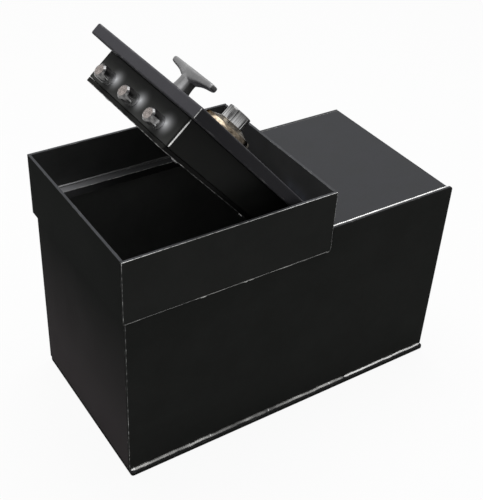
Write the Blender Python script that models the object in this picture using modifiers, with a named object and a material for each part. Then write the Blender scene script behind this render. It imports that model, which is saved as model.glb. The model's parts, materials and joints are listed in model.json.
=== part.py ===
"""An in-floor safe: a welded steel box with a raised neck, and a hinged door that carries its boltwork."""

from math import cos, radians, sin

import bmesh
import bpy
from mathutils import Vector

MM = 0.001

# Body: plates welded into a long low box, measured from its left, front, bottom corner
BODY_LENGTH = 421 * MM
BODY_DEPTH = 216 * MM
BODY_HEIGHT = 249 * MM
WALL = 3.2 * MM
BASE_THICKNESS = 4.8 * MM
BASE_LIP = 5 * MM
FRONT_OVERHANG = 6 * MM
WELD_GAP = 0.3 * MM
EDGE_ROUND = 0.6 * MM

# Neck: a collar of flat bar round the left end of the body
NECK_LENGTH = 249 * MM
NECK_TOP = 298 * MM
NECK_BAR_WIDTH = 76 * MM
LEDGE_WIDTH = 14 * MM
LEDGE_HEIGHT = 9.5 * MM
LEDGE_HINGE_CLEAR = 3 * MM

# Door plate and its pivot, in the shut position
DOOR_THICKNESS = 13.2 * MM
DOOR_SIDE_GAP = 3.5 * MM
DOOR_SEAT_GAP = 0.3 * MM
DOOR_ROUND = 1.2 * MM
PIVOT_FROM_END = 9 * MM
PIVOT_BELOW_TOP = 5 * MM
PIVOT_TO_EDGE = 7 * MM
DOOR_OPEN_DEG = 48.1
PIN_RADIUS = 3 * MM
PIN_DEPTH = 24 * MM
BOSS_RADIUS = 7.8 * MM
FIT_GAP = 0.3 * MM

# Housing under the door, with the lift-off cover
HOUSING_END_INSET = 17 * MM
HOUSING_SIDE_INSET = 24 * MM
HOUSING_HINGE_INSET = 26 * MM
HOUSING_CLEAR = 2.6 * MM
HOUSING_WALL = 3.2 * MM
COVER_THICKNESS = 4.8 * MM
POST_RADIUS = 5 * MM
POST_SIDE_INSET = 10.2 * MM
POST_NEAR_INSET = 29 * MM
POST_FAR_INSET = 47 * MM
SCREW_RADIUS = 2 * MM
SCREW_HEAD_RADIUS = 4 * MM
SCREW_CROWN_RADIUS = 3.2 * MM
SCREW_HEAD_HEIGHT = 2.2 * MM
SCREW_REACH = 12 * MM

# Boltwork
BOLT_COUNT = 3
BOLT_SIDE_INSET = 29.5 * MM
BOLT_RADIUS = 7.9 * MM
BOLT_CHAMFER = 1.2 * MM
BOLT_LENGTH = 76 * MM
BOLT_DROP = 23 * MM
BOLT_TRAVEL = 16 * MM
BUSH_WALL = 3 * MM
BUSH_LENGTH = 12 * MM
BAR_THICKNESS = 5 * MM
BAR_TAIL = 4 * MM
BAR_WIDTH = 39 * MM
BAR_END = 11 * MM
ROLL_PIN_RADIUS = 2.5 * MM
ROLL_PIN_INSET = 10 * MM
TONGUE_WIDTH = 10 * MM
TONGUE_ROOT = 12 * MM
TONGUE_CLEAR = 0.8 * MM
TONGUE_SIDE_GAP = 3 * MM

# Handle that throws and draws the bolts by a cam pin in the bar's slot
HANDLE_FROM_END = 54 * MM
HANDLE_SPAN = 79 * MM
HANDLE_HEIGHT = 26.6 * MM
HANDLE_ARM_THICKNESS = 13 * MM
HANDLE_TIP_HEIGHT = 7 * MM
HANDLE_ROOT_HEIGHT = 13 * MM
HANDLE_TIP_ROUND = 1.8 * MM
HANDLE_WEB_HALF = 8.2 * MM
HANDLE_WEB_ROOT = 13.3 * MM
HANDLE_WEB_REACH = 20.4 * MM
HANDLE_STEM_RADIUS = 10.2 * MM
HANDLE_STEM_TOP_RADIUS = 9.2 * MM
HANDLE_TURN_DEG = 90
SPINDLE_RADIUS = 6 * MM
SPINDLE_SEAT = 11 * MM
CAM_RADIUS = 17.5 * MM
CAM_THICKNESS = 4.5 * MM
CAM_PIN_RADIUS = 4 * MM
CAM_BAR_GAP = 1.5 * MM
SLOT_CLEAR = 0.7 * MM

# Combination lock
DIAL_FROM_END = 136 * MM
RING_RADIUS = 31 * MM
RING_HEIGHT = 8 * MM
RING_LAND = 3.5 * MM
DIAL_RADIUS = 27 * MM
DIAL_FLOOR = 3.5 * MM
DIAL_RIM = 7.8 * MM
DIAL_CROWN = 13.2 * MM
KNOB_RADIUS = 14 * MM
KNOB_TOP = 28.3 * MM
KNOB_ROUND = 1.2 * MM
DIAL_SPINDLE_RADIUS = 4 * MM
DIAL_GAP = 0.5 * MM
LOCK_LENGTH = 83 * MM
LOCK_WIDTH = 61 * MM
LOCK_WALL = 3 * MM
LOCK_COVER = 2 * MM
LOCK_SPINDLE_TO_END = 33 * MM
LOCK_SCREW_INSET = 6 * MM
LOCK_SCREW_GRIP = 6 * MM
LOCK_BOLT_WIDTH = 25 * MM
LOCK_BOLT_THICKNESS = 6 * MM
LOCK_BOLT_LENGTH = 39 * MM
LOCK_BOLT_THROW = 10 * MM
WHEEL_COUNT = 3
WHEEL_RADIUS = 19 * MM
WHEEL_THICKNESS = 2 * MM
WHEEL_PITCH = 2.6 * MM
WHEEL_POST_WALL = 1.7 * MM
DRIVE_CAM_THICKNESS = 3.4 * MM
DRIVE_CAM_NOTCH = 7 * MM

ROUND_SIDES = 32
SMALL_SIDES = 12

# Places worked out from the sizes above, with the origin under the middle of the box
LEFT = -BODY_LENGTH / 2
RIGHT = BODY_LENGTH / 2
FRONT = -BODY_DEPTH / 2
BACK = BODY_DEPTH / 2
NECK_RIGHT = LEFT + NECK_LENGTH
NECK_BOTTOM = NECK_TOP - NECK_BAR_WIDTH

DOOR_WIDTH = BODY_DEPTH - 2 * DOOR_SIDE_GAP
DOOR_FREE_END = LEFT + DOOR_SIDE_GAP
DOOR_TOP = BODY_HEIGHT + DOOR_SEAT_GAP + DOOR_THICKNESS
PIVOT_X = NECK_RIGHT - WALL - PIVOT_FROM_END
PIVOT_Z = DOOR_TOP - PIVOT_BELOW_TOP
DOOR_REACH = PIVOT_X - DOOR_FREE_END

# Heights and places on the door, from the pivot axis, with the door shut
FACE = PIVOT_BELOW_TOP
UNDERSIDE = FACE - DOOR_THICKNESS
FREE_END = -DOOR_REACH
HINGE_END = PIVOT_TO_EDGE
HOUSING_NEAR = FREE_END + HOUSING_END_INSET
HOUSING_FAR = HINGE_END - HOUSING_HINGE_INSET
HOUSING_HALF = DOOR_WIDTH / 2 - HOUSING_SIDE_INSET
BOLT_SPACING = 2 * (HOUSING_HALF - BOLT_SIDE_INSET) / (BOLT_COUNT - 1)
BOLT_Z = UNDERSIDE - BOLT_DROP
BAR_BOTTOM = BOLT_Z + BOLT_RADIUS + FIT_GAP
BAR_TOP = BAR_BOTTOM + BAR_THICKNESS
BAR_FAR = FREE_END + BOLT_LENGTH - BAR_TAIL
HANDLE_X = FREE_END + HANDLE_FROM_END
CAM_ARM = BOLT_TRAVEL / (2 * sin(radians(HANDLE_TURN_DEG / 2)))
CAM_BOTTOM = BAR_TOP + CAM_BAR_GAP
DIAL_X = FREE_END + DIAL_FROM_END
LOCK_TOP = UNDERSIDE - FIT_GAP
LOCK_FRONT = -LOCK_SPINDLE_TO_END
LOCK_BACK = LOCK_FRONT + LOCK_LENGTH
LOCK_BOLT_Z = (BAR_TOP + BAR_BOTTOM) / 2
WHEEL_TOP = LOCK_BOLT_Z - LOCK_BOLT_THICKNESS / 2 - 2 * FIT_GAP
WHEELS_END = WHEEL_TOP - (WHEEL_COUNT - 1) * WHEEL_PITCH - WHEEL_THICKNESS
DRIVE_CAM_LOW = WHEELS_END - FIT_GAP - DRIVE_CAM_THICKNESS
LOCK_BOTTOM = DRIVE_CAM_LOW - 2 * FIT_GAP - WELD_GAP - LOCK_COVER
HOUSING_FLOOR = LOCK_BOTTOM - FIT_GAP - SCREW_HEAD_HEIGHT - HOUSING_CLEAR
BOLT_PLACES = [(i - (BOLT_COUNT - 1) / 2) * BOLT_SPACING for i in range(BOLT_COUNT)]

for item in list(bpy.data.objects):
    bpy.data.objects.remove(item)


def new_collection(name):
    """Make an empty collection in the scene."""
    collection = bpy.data.collections.new(name)
    bpy.context.scene.collection.children.link(collection)
    return collection


PARTS = new_collection("in_floor_safe")
CUTTERS = new_collection("cutters")


def material(name, colour, roughness, metallic):
    """Make a plain material for a sub-part."""
    made = bpy.data.materials.new(name)
    made.use_nodes = True
    shader = made.node_tree.nodes["Principled BSDF"]
    shader.inputs["Base Color"].default_value = (*colour, 1)
    shader.inputs["Roughness"].default_value = roughness
    shader.inputs["Metallic"].default_value = metallic
    return made


BLACK_PAINT = material("black_paint", (0.02, 0.02, 0.021), 0.45, 0.0)
GREY_PAINT = material("worn_grey_paint", (0.06, 0.06, 0.065), 0.5, 0.0)
CHROME = material("chrome", (0.8, 0.79, 0.77), 0.12, 1.0)
CAST_GREY = material("cast_grey", (0.3, 0.3, 0.3), 0.45, 0.8)
SATIN_SILVER = material("satin_silver", (0.6, 0.6, 0.6), 0.3, 1.0)
BARE_STEEL = material("bare_steel", (0.4, 0.4, 0.41), 0.4, 1.0)
BRASS = material("brass", (0.7, 0.5, 0.2), 0.35, 1.0)


def pivot(name, place, turn_deg=0, parent=None):
    """Make an empty on a joint's axis, turned about Y when it carries the door."""
    empty = bpy.data.objects.new(name, None)
    empty.location = place
    empty.rotation_euler = (0, radians(turn_deg), 0)
    empty.parent = parent
    PARTS.objects.link(empty)
    return empty


def add_mesh(name, mesh, finish, place, parent=None):
    """Put a mesh into the object's collection, with its finish."""
    mesh.materials.append(finish)
    item = bpy.data.objects.new(name, mesh)
    item.location = place
    item.parent = parent
    PARTS.objects.link(item)
    return item


def as_cutter(item):
    """Turn an object into a cutter that isn't part of the model."""
    PARTS.objects.unlink(item)
    CUTTERS.objects.link(item)
    item.hide_render = True
    item.display_type = 'WIRE'
    return item


def cut(item, cutter, operation='DIFFERENCE'):
    """Cut a cutter out of an object, or join it on."""
    boolean = item.modifiers.new(cutter.name, 'BOOLEAN')
    boolean.operation = operation
    boolean.solver = 'EXACT'
    boolean.object = as_cutter(cutter)


def bevel(item, width, segments=1):
    """Round an object's edges, no more than its thinnest side allows."""
    thinnest = min(side for side in item.dimensions if side > 0)
    rounding = item.modifiers.new("edges", 'BEVEL')
    rounding.width = min(width, thinnest / 4)
    rounding.segments = segments
    rounding.limit_method = 'ANGLE'


def box(name, low, high, finish, parent=None, rounded=EDGE_ROUND):
    """Make a box between two corners, with softened edges."""
    mesh = bpy.data.meshes.new(name)
    shape = bmesh.new()
    bmesh.ops.create_cube(shape, size=1)
    size = Vector(high) - Vector(low)
    bmesh.ops.scale(shape, vec=size, verts=shape.verts)
    shape.to_mesh(mesh)
    shape.free()
    item = add_mesh(name, mesh, finish, (Vector(low) + Vector(high)) / 2, parent)
    if rounded:
        bevel(item, rounded)
    return item


def rod(name, radius, start, end, axis, finish, parent=None, sides=ROUND_SIDES, chamfer=0):
    """Make a round rod along X, Y or Z, from start to a coordinate on that axis."""
    mesh = bpy.data.meshes.new(name)
    shape = bmesh.new()
    at = "XYZ".index(axis)
    length = abs(end - start[at])
    bmesh.ops.create_cone(shape, cap_ends=True, segments=sides, radius1=radius, radius2=radius, depth=length)
    if chamfer:
        rims = [e for e in shape.edges if abs(e.verts[0].co.z - e.verts[1].co.z) < length / 2]
        bmesh.ops.bevel(shape, geom=rims, offset=chamfer, segments=1, affect='EDGES')
    turn = {"X": (0, radians(90), 0), "Y": (radians(90), 0, 0), "Z": (0, 0, 0)}[axis]
    shape.to_mesh(mesh)
    shape.free()
    mesh.shade_smooth()
    mesh.set_sharp_from_angle(angle=radians(35))
    centre = Vector(start)
    centre[at] = (start[at] + end) / 2
    item = add_mesh(name, mesh, finish, centre, parent)
    item.rotation_euler = turn
    return item


def turned(name, profile, place, finish, parent=None, sides=ROUND_SIDES):
    """Turn a closed or axis-to-axis profile of (radius, height) points about Z."""
    mesh = bpy.data.meshes.new(name)
    shape = bmesh.new()
    points = [shape.verts.new((radius, 0, height)) for radius, height in profile]
    for first, second in zip(points, points[1:]):
        shape.edges.new((first, second))
    if profile[0][0] > 0:
        shape.edges.new((points[-1], points[0]))
    shape.to_mesh(mesh)
    shape.free()
    item = add_mesh(name, mesh, finish, place, parent)
    screw = item.modifiers.new("turn", 'SCREW')
    screw.steps = sides
    screw.render_steps = sides
    screw.use_merge_vertices = True
    screw.merge_threshold = 0.00001
    screw.use_smooth_shade = True
    return item


def outline(name, points, thickness, place, finish, parent=None, plane="XY"):
    """Make a plate from an outline, as thick as stated, centred on its place."""
    curve = bpy.data.curves.new(name, 'CURVE')
    curve.dimensions = '2D'
    curve.fill_mode = 'BOTH'
    curve.extrude = thickness / 2
    spline = curve.splines.new('POLY')
    spline.points.add(len(points) - 1)
    for point, (across, up) in zip(spline.points, points):
        point.co = (across, up, 0, 1)
    spline.use_cyclic_u = True
    drawn = bpy.data.objects.new(name, curve)
    PARTS.objects.link(drawn)
    bpy.context.view_layer.update()
    evaluated = drawn.evaluated_get(bpy.context.evaluated_depsgraph_get())
    mesh = bpy.data.meshes.new_from_object(evaluated)
    bpy.data.objects.remove(drawn)
    shape = bmesh.new()
    shape.from_mesh(mesh)
    bmesh.ops.remove_doubles(shape, verts=shape.verts, dist=0.00001)
    bmesh.ops.recalc_face_normals(shape, faces=shape.faces)
    shape.to_mesh(mesh)
    shape.free()
    mesh.materials.clear()
    item = add_mesh(name, mesh, finish, place, parent)
    turns = {"XY": (0, 0, 0), "XZ": (radians(90), 0, 0), "YZ": (radians(90), 0, radians(90))}
    item.rotation_euler = turns[plane]
    return item


def build_body():
    """Weld up the low box from its plates."""
    wall_low = BASE_THICKNESS + WELD_GAP
    front_right = RIGHT + FRONT_OVERHANG
    box("base_plate", (LEFT, FRONT - BASE_LIP, 0), (front_right, BACK, BASE_THICKNESS), BLACK_PAINT)
    box("front_plate", (LEFT, FRONT, wall_low), (front_right, FRONT + WALL, BODY_HEIGHT), BLACK_PAINT)
    box("back_plate", (LEFT, BACK - WALL, wall_low), (RIGHT, BACK, BODY_HEIGHT), BLACK_PAINT)
    inner_front = FRONT + WALL + WELD_GAP
    inner_back = BACK - WALL - WELD_GAP
    box("left_end_plate", (LEFT, inner_front, wall_low), (LEFT + WALL, inner_back, BODY_HEIGHT), BLACK_PAINT)
    end_top = BODY_HEIGHT - WALL - WELD_GAP
    box("right_end_plate", (RIGHT - WALL, inner_front, wall_low), (RIGHT, inner_back, end_top), BLACK_PAINT)
    top_left = NECK_RIGHT + WELD_GAP
    top_low = BODY_HEIGHT - WALL
    box("top_plate", (top_left, inner_front, top_low), (RIGHT, inner_back, BODY_HEIGHT), BLACK_PAINT)


def build_neck():
    """Wrap the left end in a collar of flat bar and weld in the ledge that carries the door."""
    outer = WALL + WELD_GAP
    for name, side, face in (("neck_front_plate", -1, FRONT), ("neck_back_plate", 1, BACK)):
        edges = sorted((face + side * WELD_GAP, face + side * outer))
        box(name, (LEFT - outer, edges[0], NECK_BOTTOM), (NECK_RIGHT, edges[1], NECK_TOP), BLACK_PAINT)
    box("neck_left_plate", (LEFT - outer, FRONT, NECK_BOTTOM), (LEFT - WELD_GAP, BACK, NECK_TOP), BLACK_PAINT)
    narrow = BODY_DEPTH / 2 - WALL - WELD_GAP
    wide = BODY_DEPTH / 2
    step = BODY_HEIGHT + WELD_GAP
    shape = [(-narrow, NECK_BOTTOM), (narrow, NECK_BOTTOM), (narrow, step), (wide, step), (wide, NECK_TOP),
             (-wide, NECK_TOP), (-wide, step), (-narrow, step)]
    right = outline("neck_right_plate", shape, WALL, (NECK_RIGHT - WALL / 2, 0, 0), BLACK_PAINT, plane="YZ")
    bevel(right, EDGE_ROUND)


def build_ledge():
    """Bars inside the neck, on three sides, that the shut door rests on and its bolts lock under."""
    bar = LEDGE_WIDTH - WALL - WELD_GAP
    low = BODY_HEIGHT - LEDGE_HEIGHT
    inset = WALL + WELD_GAP
    far = PIVOT_X - (DOOR_THICKNESS - PIVOT_BELOW_TOP) - LEDGE_HINGE_CLEAR
    top = BODY_HEIGHT
    end = LEFT + inset + bar
    box("ledge_left_bar", (LEFT + inset, FRONT + inset, low), (end, BACK - inset, top), BLACK_PAINT)
    near = end + WELD_GAP
    box("ledge_front_bar", (near, FRONT + inset, low), (far, FRONT + inset + bar, top), BLACK_PAINT)
    box("ledge_back_bar", (near, BACK - inset - bar, low), (far, BACK - inset, top), BLACK_PAINT)


def build_hinge(door):
    """Two pins in the door's edges that turn in bosses on the neck's inner faces."""
    edge = DOOR_WIDTH / 2
    for side, name in ((-1, "front"), (1, "back")):
        start = side * (edge + FIT_GAP)
        end = side * (BODY_DEPTH / 2 - FIT_GAP)
        boss = rod(f"hinge_boss_{name}", BOSS_RADIUS, (PIVOT_X, start, PIVOT_Z), end, "Y", BLACK_PAINT)
        hole = rod(f"boss_bore_{name}", PIN_RADIUS + FIT_GAP, (PIVOT_X, start - side * WALL, PIVOT_Z),
                   end + side * WALL, "Y", BARE_STEEL, sides=SMALL_SIDES)
        cut(boss, hole)
        rod(f"hinge_pin_{name}", PIN_RADIUS, (0, side * (edge - PIN_DEPTH), 0), end, "Y", BARE_STEEL, door,
            sides=SMALL_SIDES)


def build_door_plate(door):
    """The thick plate, bored for the hinge pins, the two spindles and the lock's screws."""
    half = DOOR_WIDTH / 2
    plate = box("door_plate", (FREE_END, -half, UNDERSIDE), (HINGE_END, half, FACE), GREY_PAINT, door,
                DOOR_ROUND)
    for side, name in ((-1, "front"), (1, "back")):
        depth = side * (half - PIN_DEPTH - FIT_GAP)
        cut(plate, rod(f"pin_bore_{name}", PIN_RADIUS + FIT_GAP, (0, depth, 0), side * (half + WALL), "Y",
                       BARE_STEEL, door, SMALL_SIDES))
    over = DOOR_THICKNESS
    low = UNDERSIDE - over
    high = FACE + over
    cut(plate, rod("handle_bore", SPINDLE_RADIUS + FIT_GAP, (HANDLE_X, 0, low), high, "Z", BARE_STEEL, door))
    cut(plate, rod("dial_bore", DIAL_SPINDLE_RADIUS + FIT_GAP, (DIAL_X, 0, low), high, "Z", BARE_STEEL, door,
                   SMALL_SIDES))
    for number, (x, y) in enumerate(lock_screw_places()):
        cut(plate, rod(f"lock_screw_bore_{number}", SCREW_RADIUS + FIT_GAP, (x, y, low),
                       UNDERSIDE + LOCK_SCREW_GRIP + FIT_GAP, "Z", BARE_STEEL, door, SMALL_SIDES))


def build_housing(door):
    """Four plates under the door round the boltwork, the posts inside them and the cover."""
    top = UNDERSIDE - WELD_GAP
    low = HOUSING_FLOOR
    inner = HOUSING_HALF - HOUSING_WALL
    near_in = HOUSING_NEAR + HOUSING_WALL
    end = box("housing_free_end_plate", (HOUSING_NEAR, -HOUSING_HALF, low), (near_in, HOUSING_HALF, top),
              BLACK_PAINT, door)
    for number, y in enumerate(BOLT_PLACES):
        cut(end, rod(f"bolt_hole_{number}", BOLT_RADIUS + FIT_GAP, (HOUSING_NEAR - WALL, y, BOLT_Z),
                     near_in + WALL, "X", BARE_STEEL, door))
    side_near = near_in + WELD_GAP
    box("housing_front_plate", (side_near, -HOUSING_HALF, low), (HOUSING_FAR, -inner, top), BLACK_PAINT, door)
    box("housing_back_plate", (side_near, inner, low), (HOUSING_FAR, HOUSING_HALF, top), BLACK_PAINT, door)
    rear = HOUSING_FAR - HOUSING_WALL
    rear_half = inner - WELD_GAP
    box("housing_hinge_end_plate", (rear, -rear_half, low), (HOUSING_FAR, rear_half, top), BLACK_PAINT, door)
    cover_top = low - WELD_GAP
    cover = box("cover_plate", (HOUSING_NEAR, -HOUSING_HALF, cover_top - COVER_THICKNESS),
                (HOUSING_FAR, HOUSING_HALF, cover_top), BLACK_PAINT, door)
    bore = SCREW_RADIUS + FIT_GAP
    bore_end = low + SCREW_REACH
    head_top = cover_top - COVER_THICKNESS - FIT_GAP
    for number, (x, y) in enumerate(post_places(), 1):
        post = rod(f"cover_post_{number}", POST_RADIUS, (x, y, low), top, "Z", BARE_STEEL, door, SMALL_SIDES)
        cut(post, rod(f"post_bore_{number}", bore, (x, y, low - WALL), bore_end, "Z", BARE_STEEL, door,
                      SMALL_SIDES))
        cut(cover, rod(f"cover_hole_{number}", bore, (x, y, head_top - WALL), low + WALL, "Z", BARE_STEEL,
                       door, SMALL_SIDES))
        screw(f"cover_screw_{number}", (x, y), head_top, bore_end - FIT_GAP, door)


def screw(name, place, head_top, shank_end, parent):
    """Turn one pan-head screw whose shank points up."""
    low = head_top - SCREW_HEAD_HEIGHT
    shank = [(0, shank_end), (SCREW_RADIUS, shank_end), (SCREW_RADIUS, head_top)]
    middle = (head_top + low) / 2
    head = [(SCREW_HEAD_RADIUS, head_top), (SCREW_HEAD_RADIUS, middle), (SCREW_CROWN_RADIUS, low), (0, low)]
    return turned(name, shank + head, (*place, 0), BARE_STEEL, parent, SMALL_SIDES)


def post_places():
    """Places beside the housing's long walls where the cover's posts stand."""
    reach = HOUSING_HALF - POST_SIDE_INSET
    near = HOUSING_NEAR + POST_NEAR_INSET
    far = HOUSING_FAR - POST_FAR_INSET
    return [(x, y) for x in (near, far) for y in (-reach, reach)]


def lock_screw_places():
    """Corners of the lock case where its screws go through."""
    xs = (DIAL_X - LOCK_WIDTH / 2 + LOCK_SCREW_INSET, DIAL_X + LOCK_WIDTH / 2 - LOCK_SCREW_INSET)
    ys = (LOCK_FRONT + LOCK_SCREW_INSET, LOCK_BACK - LOCK_SCREW_INSET)
    return [(x, y) for x in xs for y in ys]


def build_boltwork(door):
    """Three bolts pinned under a flat bar, each running through a bush behind the housing's end plate."""
    carriage = pivot("boltwork_slide", (0, 0, 0), parent=door)
    tail = FREE_END + BOLT_LENGTH
    pin_x = tail - ROLL_PIN_INSET
    for number, y in enumerate(BOLT_PLACES, 1):
        bolt = rod(f"bolt_{number}", BOLT_RADIUS, (FREE_END, y, BOLT_Z), tail, "X", CHROME, carriage,
                   chamfer=BOLT_CHAMFER)
        pin_low = BOLT_Z - BOLT_RADIUS
        cut(bolt, rod(f"bolt_cross_bore_{number}", ROLL_PIN_RADIUS + FIT_GAP, (pin_x, y, pin_low - WALL),
                      BAR_TOP, "Z", BARE_STEEL, carriage, SMALL_SIDES))
        rod(f"roll_pin_{number}", ROLL_PIN_RADIUS, (pin_x, y, pin_low), BAR_TOP, "Z", BARE_STEEL, carriage,
            SMALL_SIDES)
        bush_near = HOUSING_NEAR + HOUSING_WALL + WELD_GAP
        bush = rod(f"bolt_bush_{number}", BOLT_RADIUS + FIT_GAP + BUSH_WALL, (bush_near, y, BOLT_Z),
                   bush_near + BUSH_LENGTH, "X", BRASS, door)
        cut(bush, rod(f"bush_bore_{number}", BOLT_RADIUS + FIT_GAP, (bush_near - WALL, y, BOLT_Z),
                      bush_near + BUSH_LENGTH + WALL, "X", BRASS, door))
    build_bar(carriage, pin_x)


def build_bar(carriage, pin_x):
    """The flat bar that ties the bolts together, with the cam pin's slot and a tongue toward the lock."""
    inner = LOCK_BACK + TONGUE_SIDE_GAP
    half = BOLT_PLACES[-1] + BAR_END
    outer = max(inner + TONGUE_WIDTH, half + FIT_GAP)
    near = BAR_FAR - BAR_WIDTH
    root = BAR_FAR - TONGUE_ROOT
    tongue_end = DIAL_X - LOCK_BOLT_WIDTH / 2 - TONGUE_CLEAR - BOLT_TRAVEL
    shape = [(near, -half), (BAR_FAR, -half), (BAR_FAR, inner), (tongue_end, inner), (tongue_end, outer),
             (root, outer), (root, half), (near, half)]
    middle = (BAR_TOP + BAR_BOTTOM) / 2
    bar = outline("bolt_bar", shape, BAR_THICKNESS, (0, 0, middle), BARE_STEEL, carriage)
    bevel(bar, EDGE_ROUND)
    reach = CAM_PIN_RADIUS + SLOT_CLEAR
    rest = radians(HANDLE_TURN_DEG / 2)
    slot_x = HANDLE_X - CAM_ARM * sin(rest)
    slot_low = -CAM_ARM - reach
    slot_high = -CAM_ARM * cos(rest) + reach
    below = BAR_BOTTOM - WALL
    above = BAR_TOP + WALL
    cut(bar, box("cam_slot", (slot_x - reach, slot_low, below), (slot_x + reach, slot_high, above),
                 BARE_STEEL, carriage, 0))
    for number, y in enumerate(BOLT_PLACES, 1):
        cut(bar, rod(f"bar_pin_bore_{number}", ROLL_PIN_RADIUS + FIT_GAP, (pin_x, y, below), above, "Z",
                     BARE_STEEL, carriage, SMALL_SIDES))


def build_handle(door):
    """The cast handle on its spindle, with the cam below the door plate."""
    shaft = pivot("handle_axis", (HANDLE_X, 0, 0), parent=door)
    low = FACE + FIT_GAP
    top = FACE + HANDLE_HEIGHT
    half = HANDLE_SPAN / 2
    tip = HANDLE_TIP_HEIGHT / 2
    soft = tip - HANDLE_TIP_ROUND
    root = top - HANDLE_ROOT_HEIGHT
    right = [(HANDLE_WEB_HALF, (low + root) / 2), (HANDLE_WEB_ROOT, root), (HANDLE_WEB_REACH, root + tip),
             (half - 2 * tip, top - 2 * tip), (half - HANDLE_TIP_ROUND, top - tip - soft), (half, top - tip),
             (half - HANDLE_TIP_ROUND / 2, top - soft), (half - tip, top)]
    shape = right + [(-y, z) for y, z in reversed(right)]
    handle = outline("t_handle", shape, HANDLE_ARM_THICKNESS, (0, 0, 0), CAST_GREY, shaft, plane="YZ")
    stem = turned("handle_stem", [(0, root + tip), (HANDLE_STEM_TOP_RADIUS, root + tip),
                                  (HANDLE_STEM_RADIUS, low), (0, low)], (0, 0, 0), CAST_GREY, shaft)
    cut(handle, stem, 'UNION')
    seat = FACE + SPINDLE_SEAT
    bore = SPINDLE_RADIUS + FIT_GAP
    cut(handle, rod("spindle_seat", bore, (0, 0, low - WALL), seat + FIT_GAP, "Z", CAST_GREY, shaft))
    rod("handle_spindle", SPINDLE_RADIUS, (0, 0, CAM_BOTTOM), seat, "Z", BARE_STEEL, shaft)
    cam = rod("bolt_cam", CAM_RADIUS, (0, 0, CAM_BOTTOM), CAM_BOTTOM + CAM_THICKNESS, "Z", BARE_STEEL, shaft)
    rest = radians(HANDLE_TURN_DEG / 2)
    place = (-CAM_ARM * sin(rest), -CAM_ARM * cos(rest), BAR_BOTTOM + FIT_GAP)
    cut(cam, rod("cam_pin", CAM_PIN_RADIUS, place, CAM_BOTTOM + CAM_THICKNESS / 2, "Z", BARE_STEEL, shaft,
                 SMALL_SIDES), 'UNION')
    cut(cam, rod("cam_bore", bore, (0, 0, CAM_BOTTOM - WALL), CAM_BOTTOM + 2 * CAM_THICKNESS, "Z", BARE_STEEL,
                 shaft))


def build_dial(door):
    """The dial ring on the door, and the dial with its spindle, drive cam and wheels."""
    low = FACE + FIT_GAP
    high = FACE + RING_HEIGHT
    bore = DIAL_RADIUS + DIAL_GAP
    lip = bore + (RING_RADIUS - bore) / 3
    ring = [(bore, high), (lip, high), (RING_RADIUS, FACE + RING_LAND), (RING_RADIUS, low), (bore, low)]
    turned("dial_ring", ring, (DIAL_X, 0, 0), SATIN_SILVER, door)
    axis = pivot("dial_axis", (DIAL_X, 0, 0), parent=door)
    seat = FACE + DIAL_FLOOR
    cam_low = DRIVE_CAM_LOW
    top = FACE + KNOB_TOP
    crown = FACE + DIAL_CROWN
    hole = DIAL_SPINDLE_RADIUS + FIT_GAP
    knob = [(0, top), (KNOB_RADIUS - KNOB_ROUND, top), (KNOB_RADIUS, top - KNOB_ROUND), (KNOB_RADIUS, crown)]
    skirt = [(DIAL_RADIUS, FACE + DIAL_RIM), (DIAL_RADIUS, seat), (hole, seat), (hole, crown), (0, crown)]
    turned("dial", knob + skirt, (0, 0, 0), SATIN_SILVER, axis)
    rod("dial_spindle", DIAL_SPINDLE_RADIUS, (0, 0, cam_low), crown - FIT_GAP, "Z", BARE_STEEL, axis,
        SMALL_SIDES)
    cam_top = cam_low + DRIVE_CAM_THICKNESS
    cam = rod("drive_cam", WHEEL_RADIUS, (0, 0, cam_low), cam_top, "Z", BRASS, axis)
    cut(cam, rod("drive_cam_bore", hole, (0, 0, cam_low - WALL), cam_top + WALL, "Z", BRASS, axis,
                 SMALL_SIDES))
    notch = DRIVE_CAM_NOTCH / 2
    cut(cam, box("drive_cam_notch", (-notch, WHEEL_RADIUS - DRIVE_CAM_NOTCH, cam_low - WALL),
                 (notch, 2 * WHEEL_RADIUS, cam_top + WALL), BRASS, axis, 0))
    post = hole + WHEEL_POST_WALL
    for number in range(WHEEL_COUNT):
        wheel_top = WHEEL_TOP - number * WHEEL_PITCH
        wheel_low = wheel_top - WHEEL_THICKNESS
        inner = post + FIT_GAP
        rim = [(inner, wheel_top), (WHEEL_RADIUS, wheel_top), (WHEEL_RADIUS, wheel_low), (inner, wheel_low)]
        turned(f"combination_wheel_{number + 1}", rim, (0, 0, 0), BRASS, axis)
    floor = LOCK_TOP - LOCK_WALL - WELD_GAP
    tube = [(hole, floor), (post, floor), (post, WHEELS_END), (hole, WHEELS_END)]
    turned("wheel_post", tube, (DIAL_X, 0, 0), BARE_STEEL, door, SMALL_SIDES)


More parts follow.
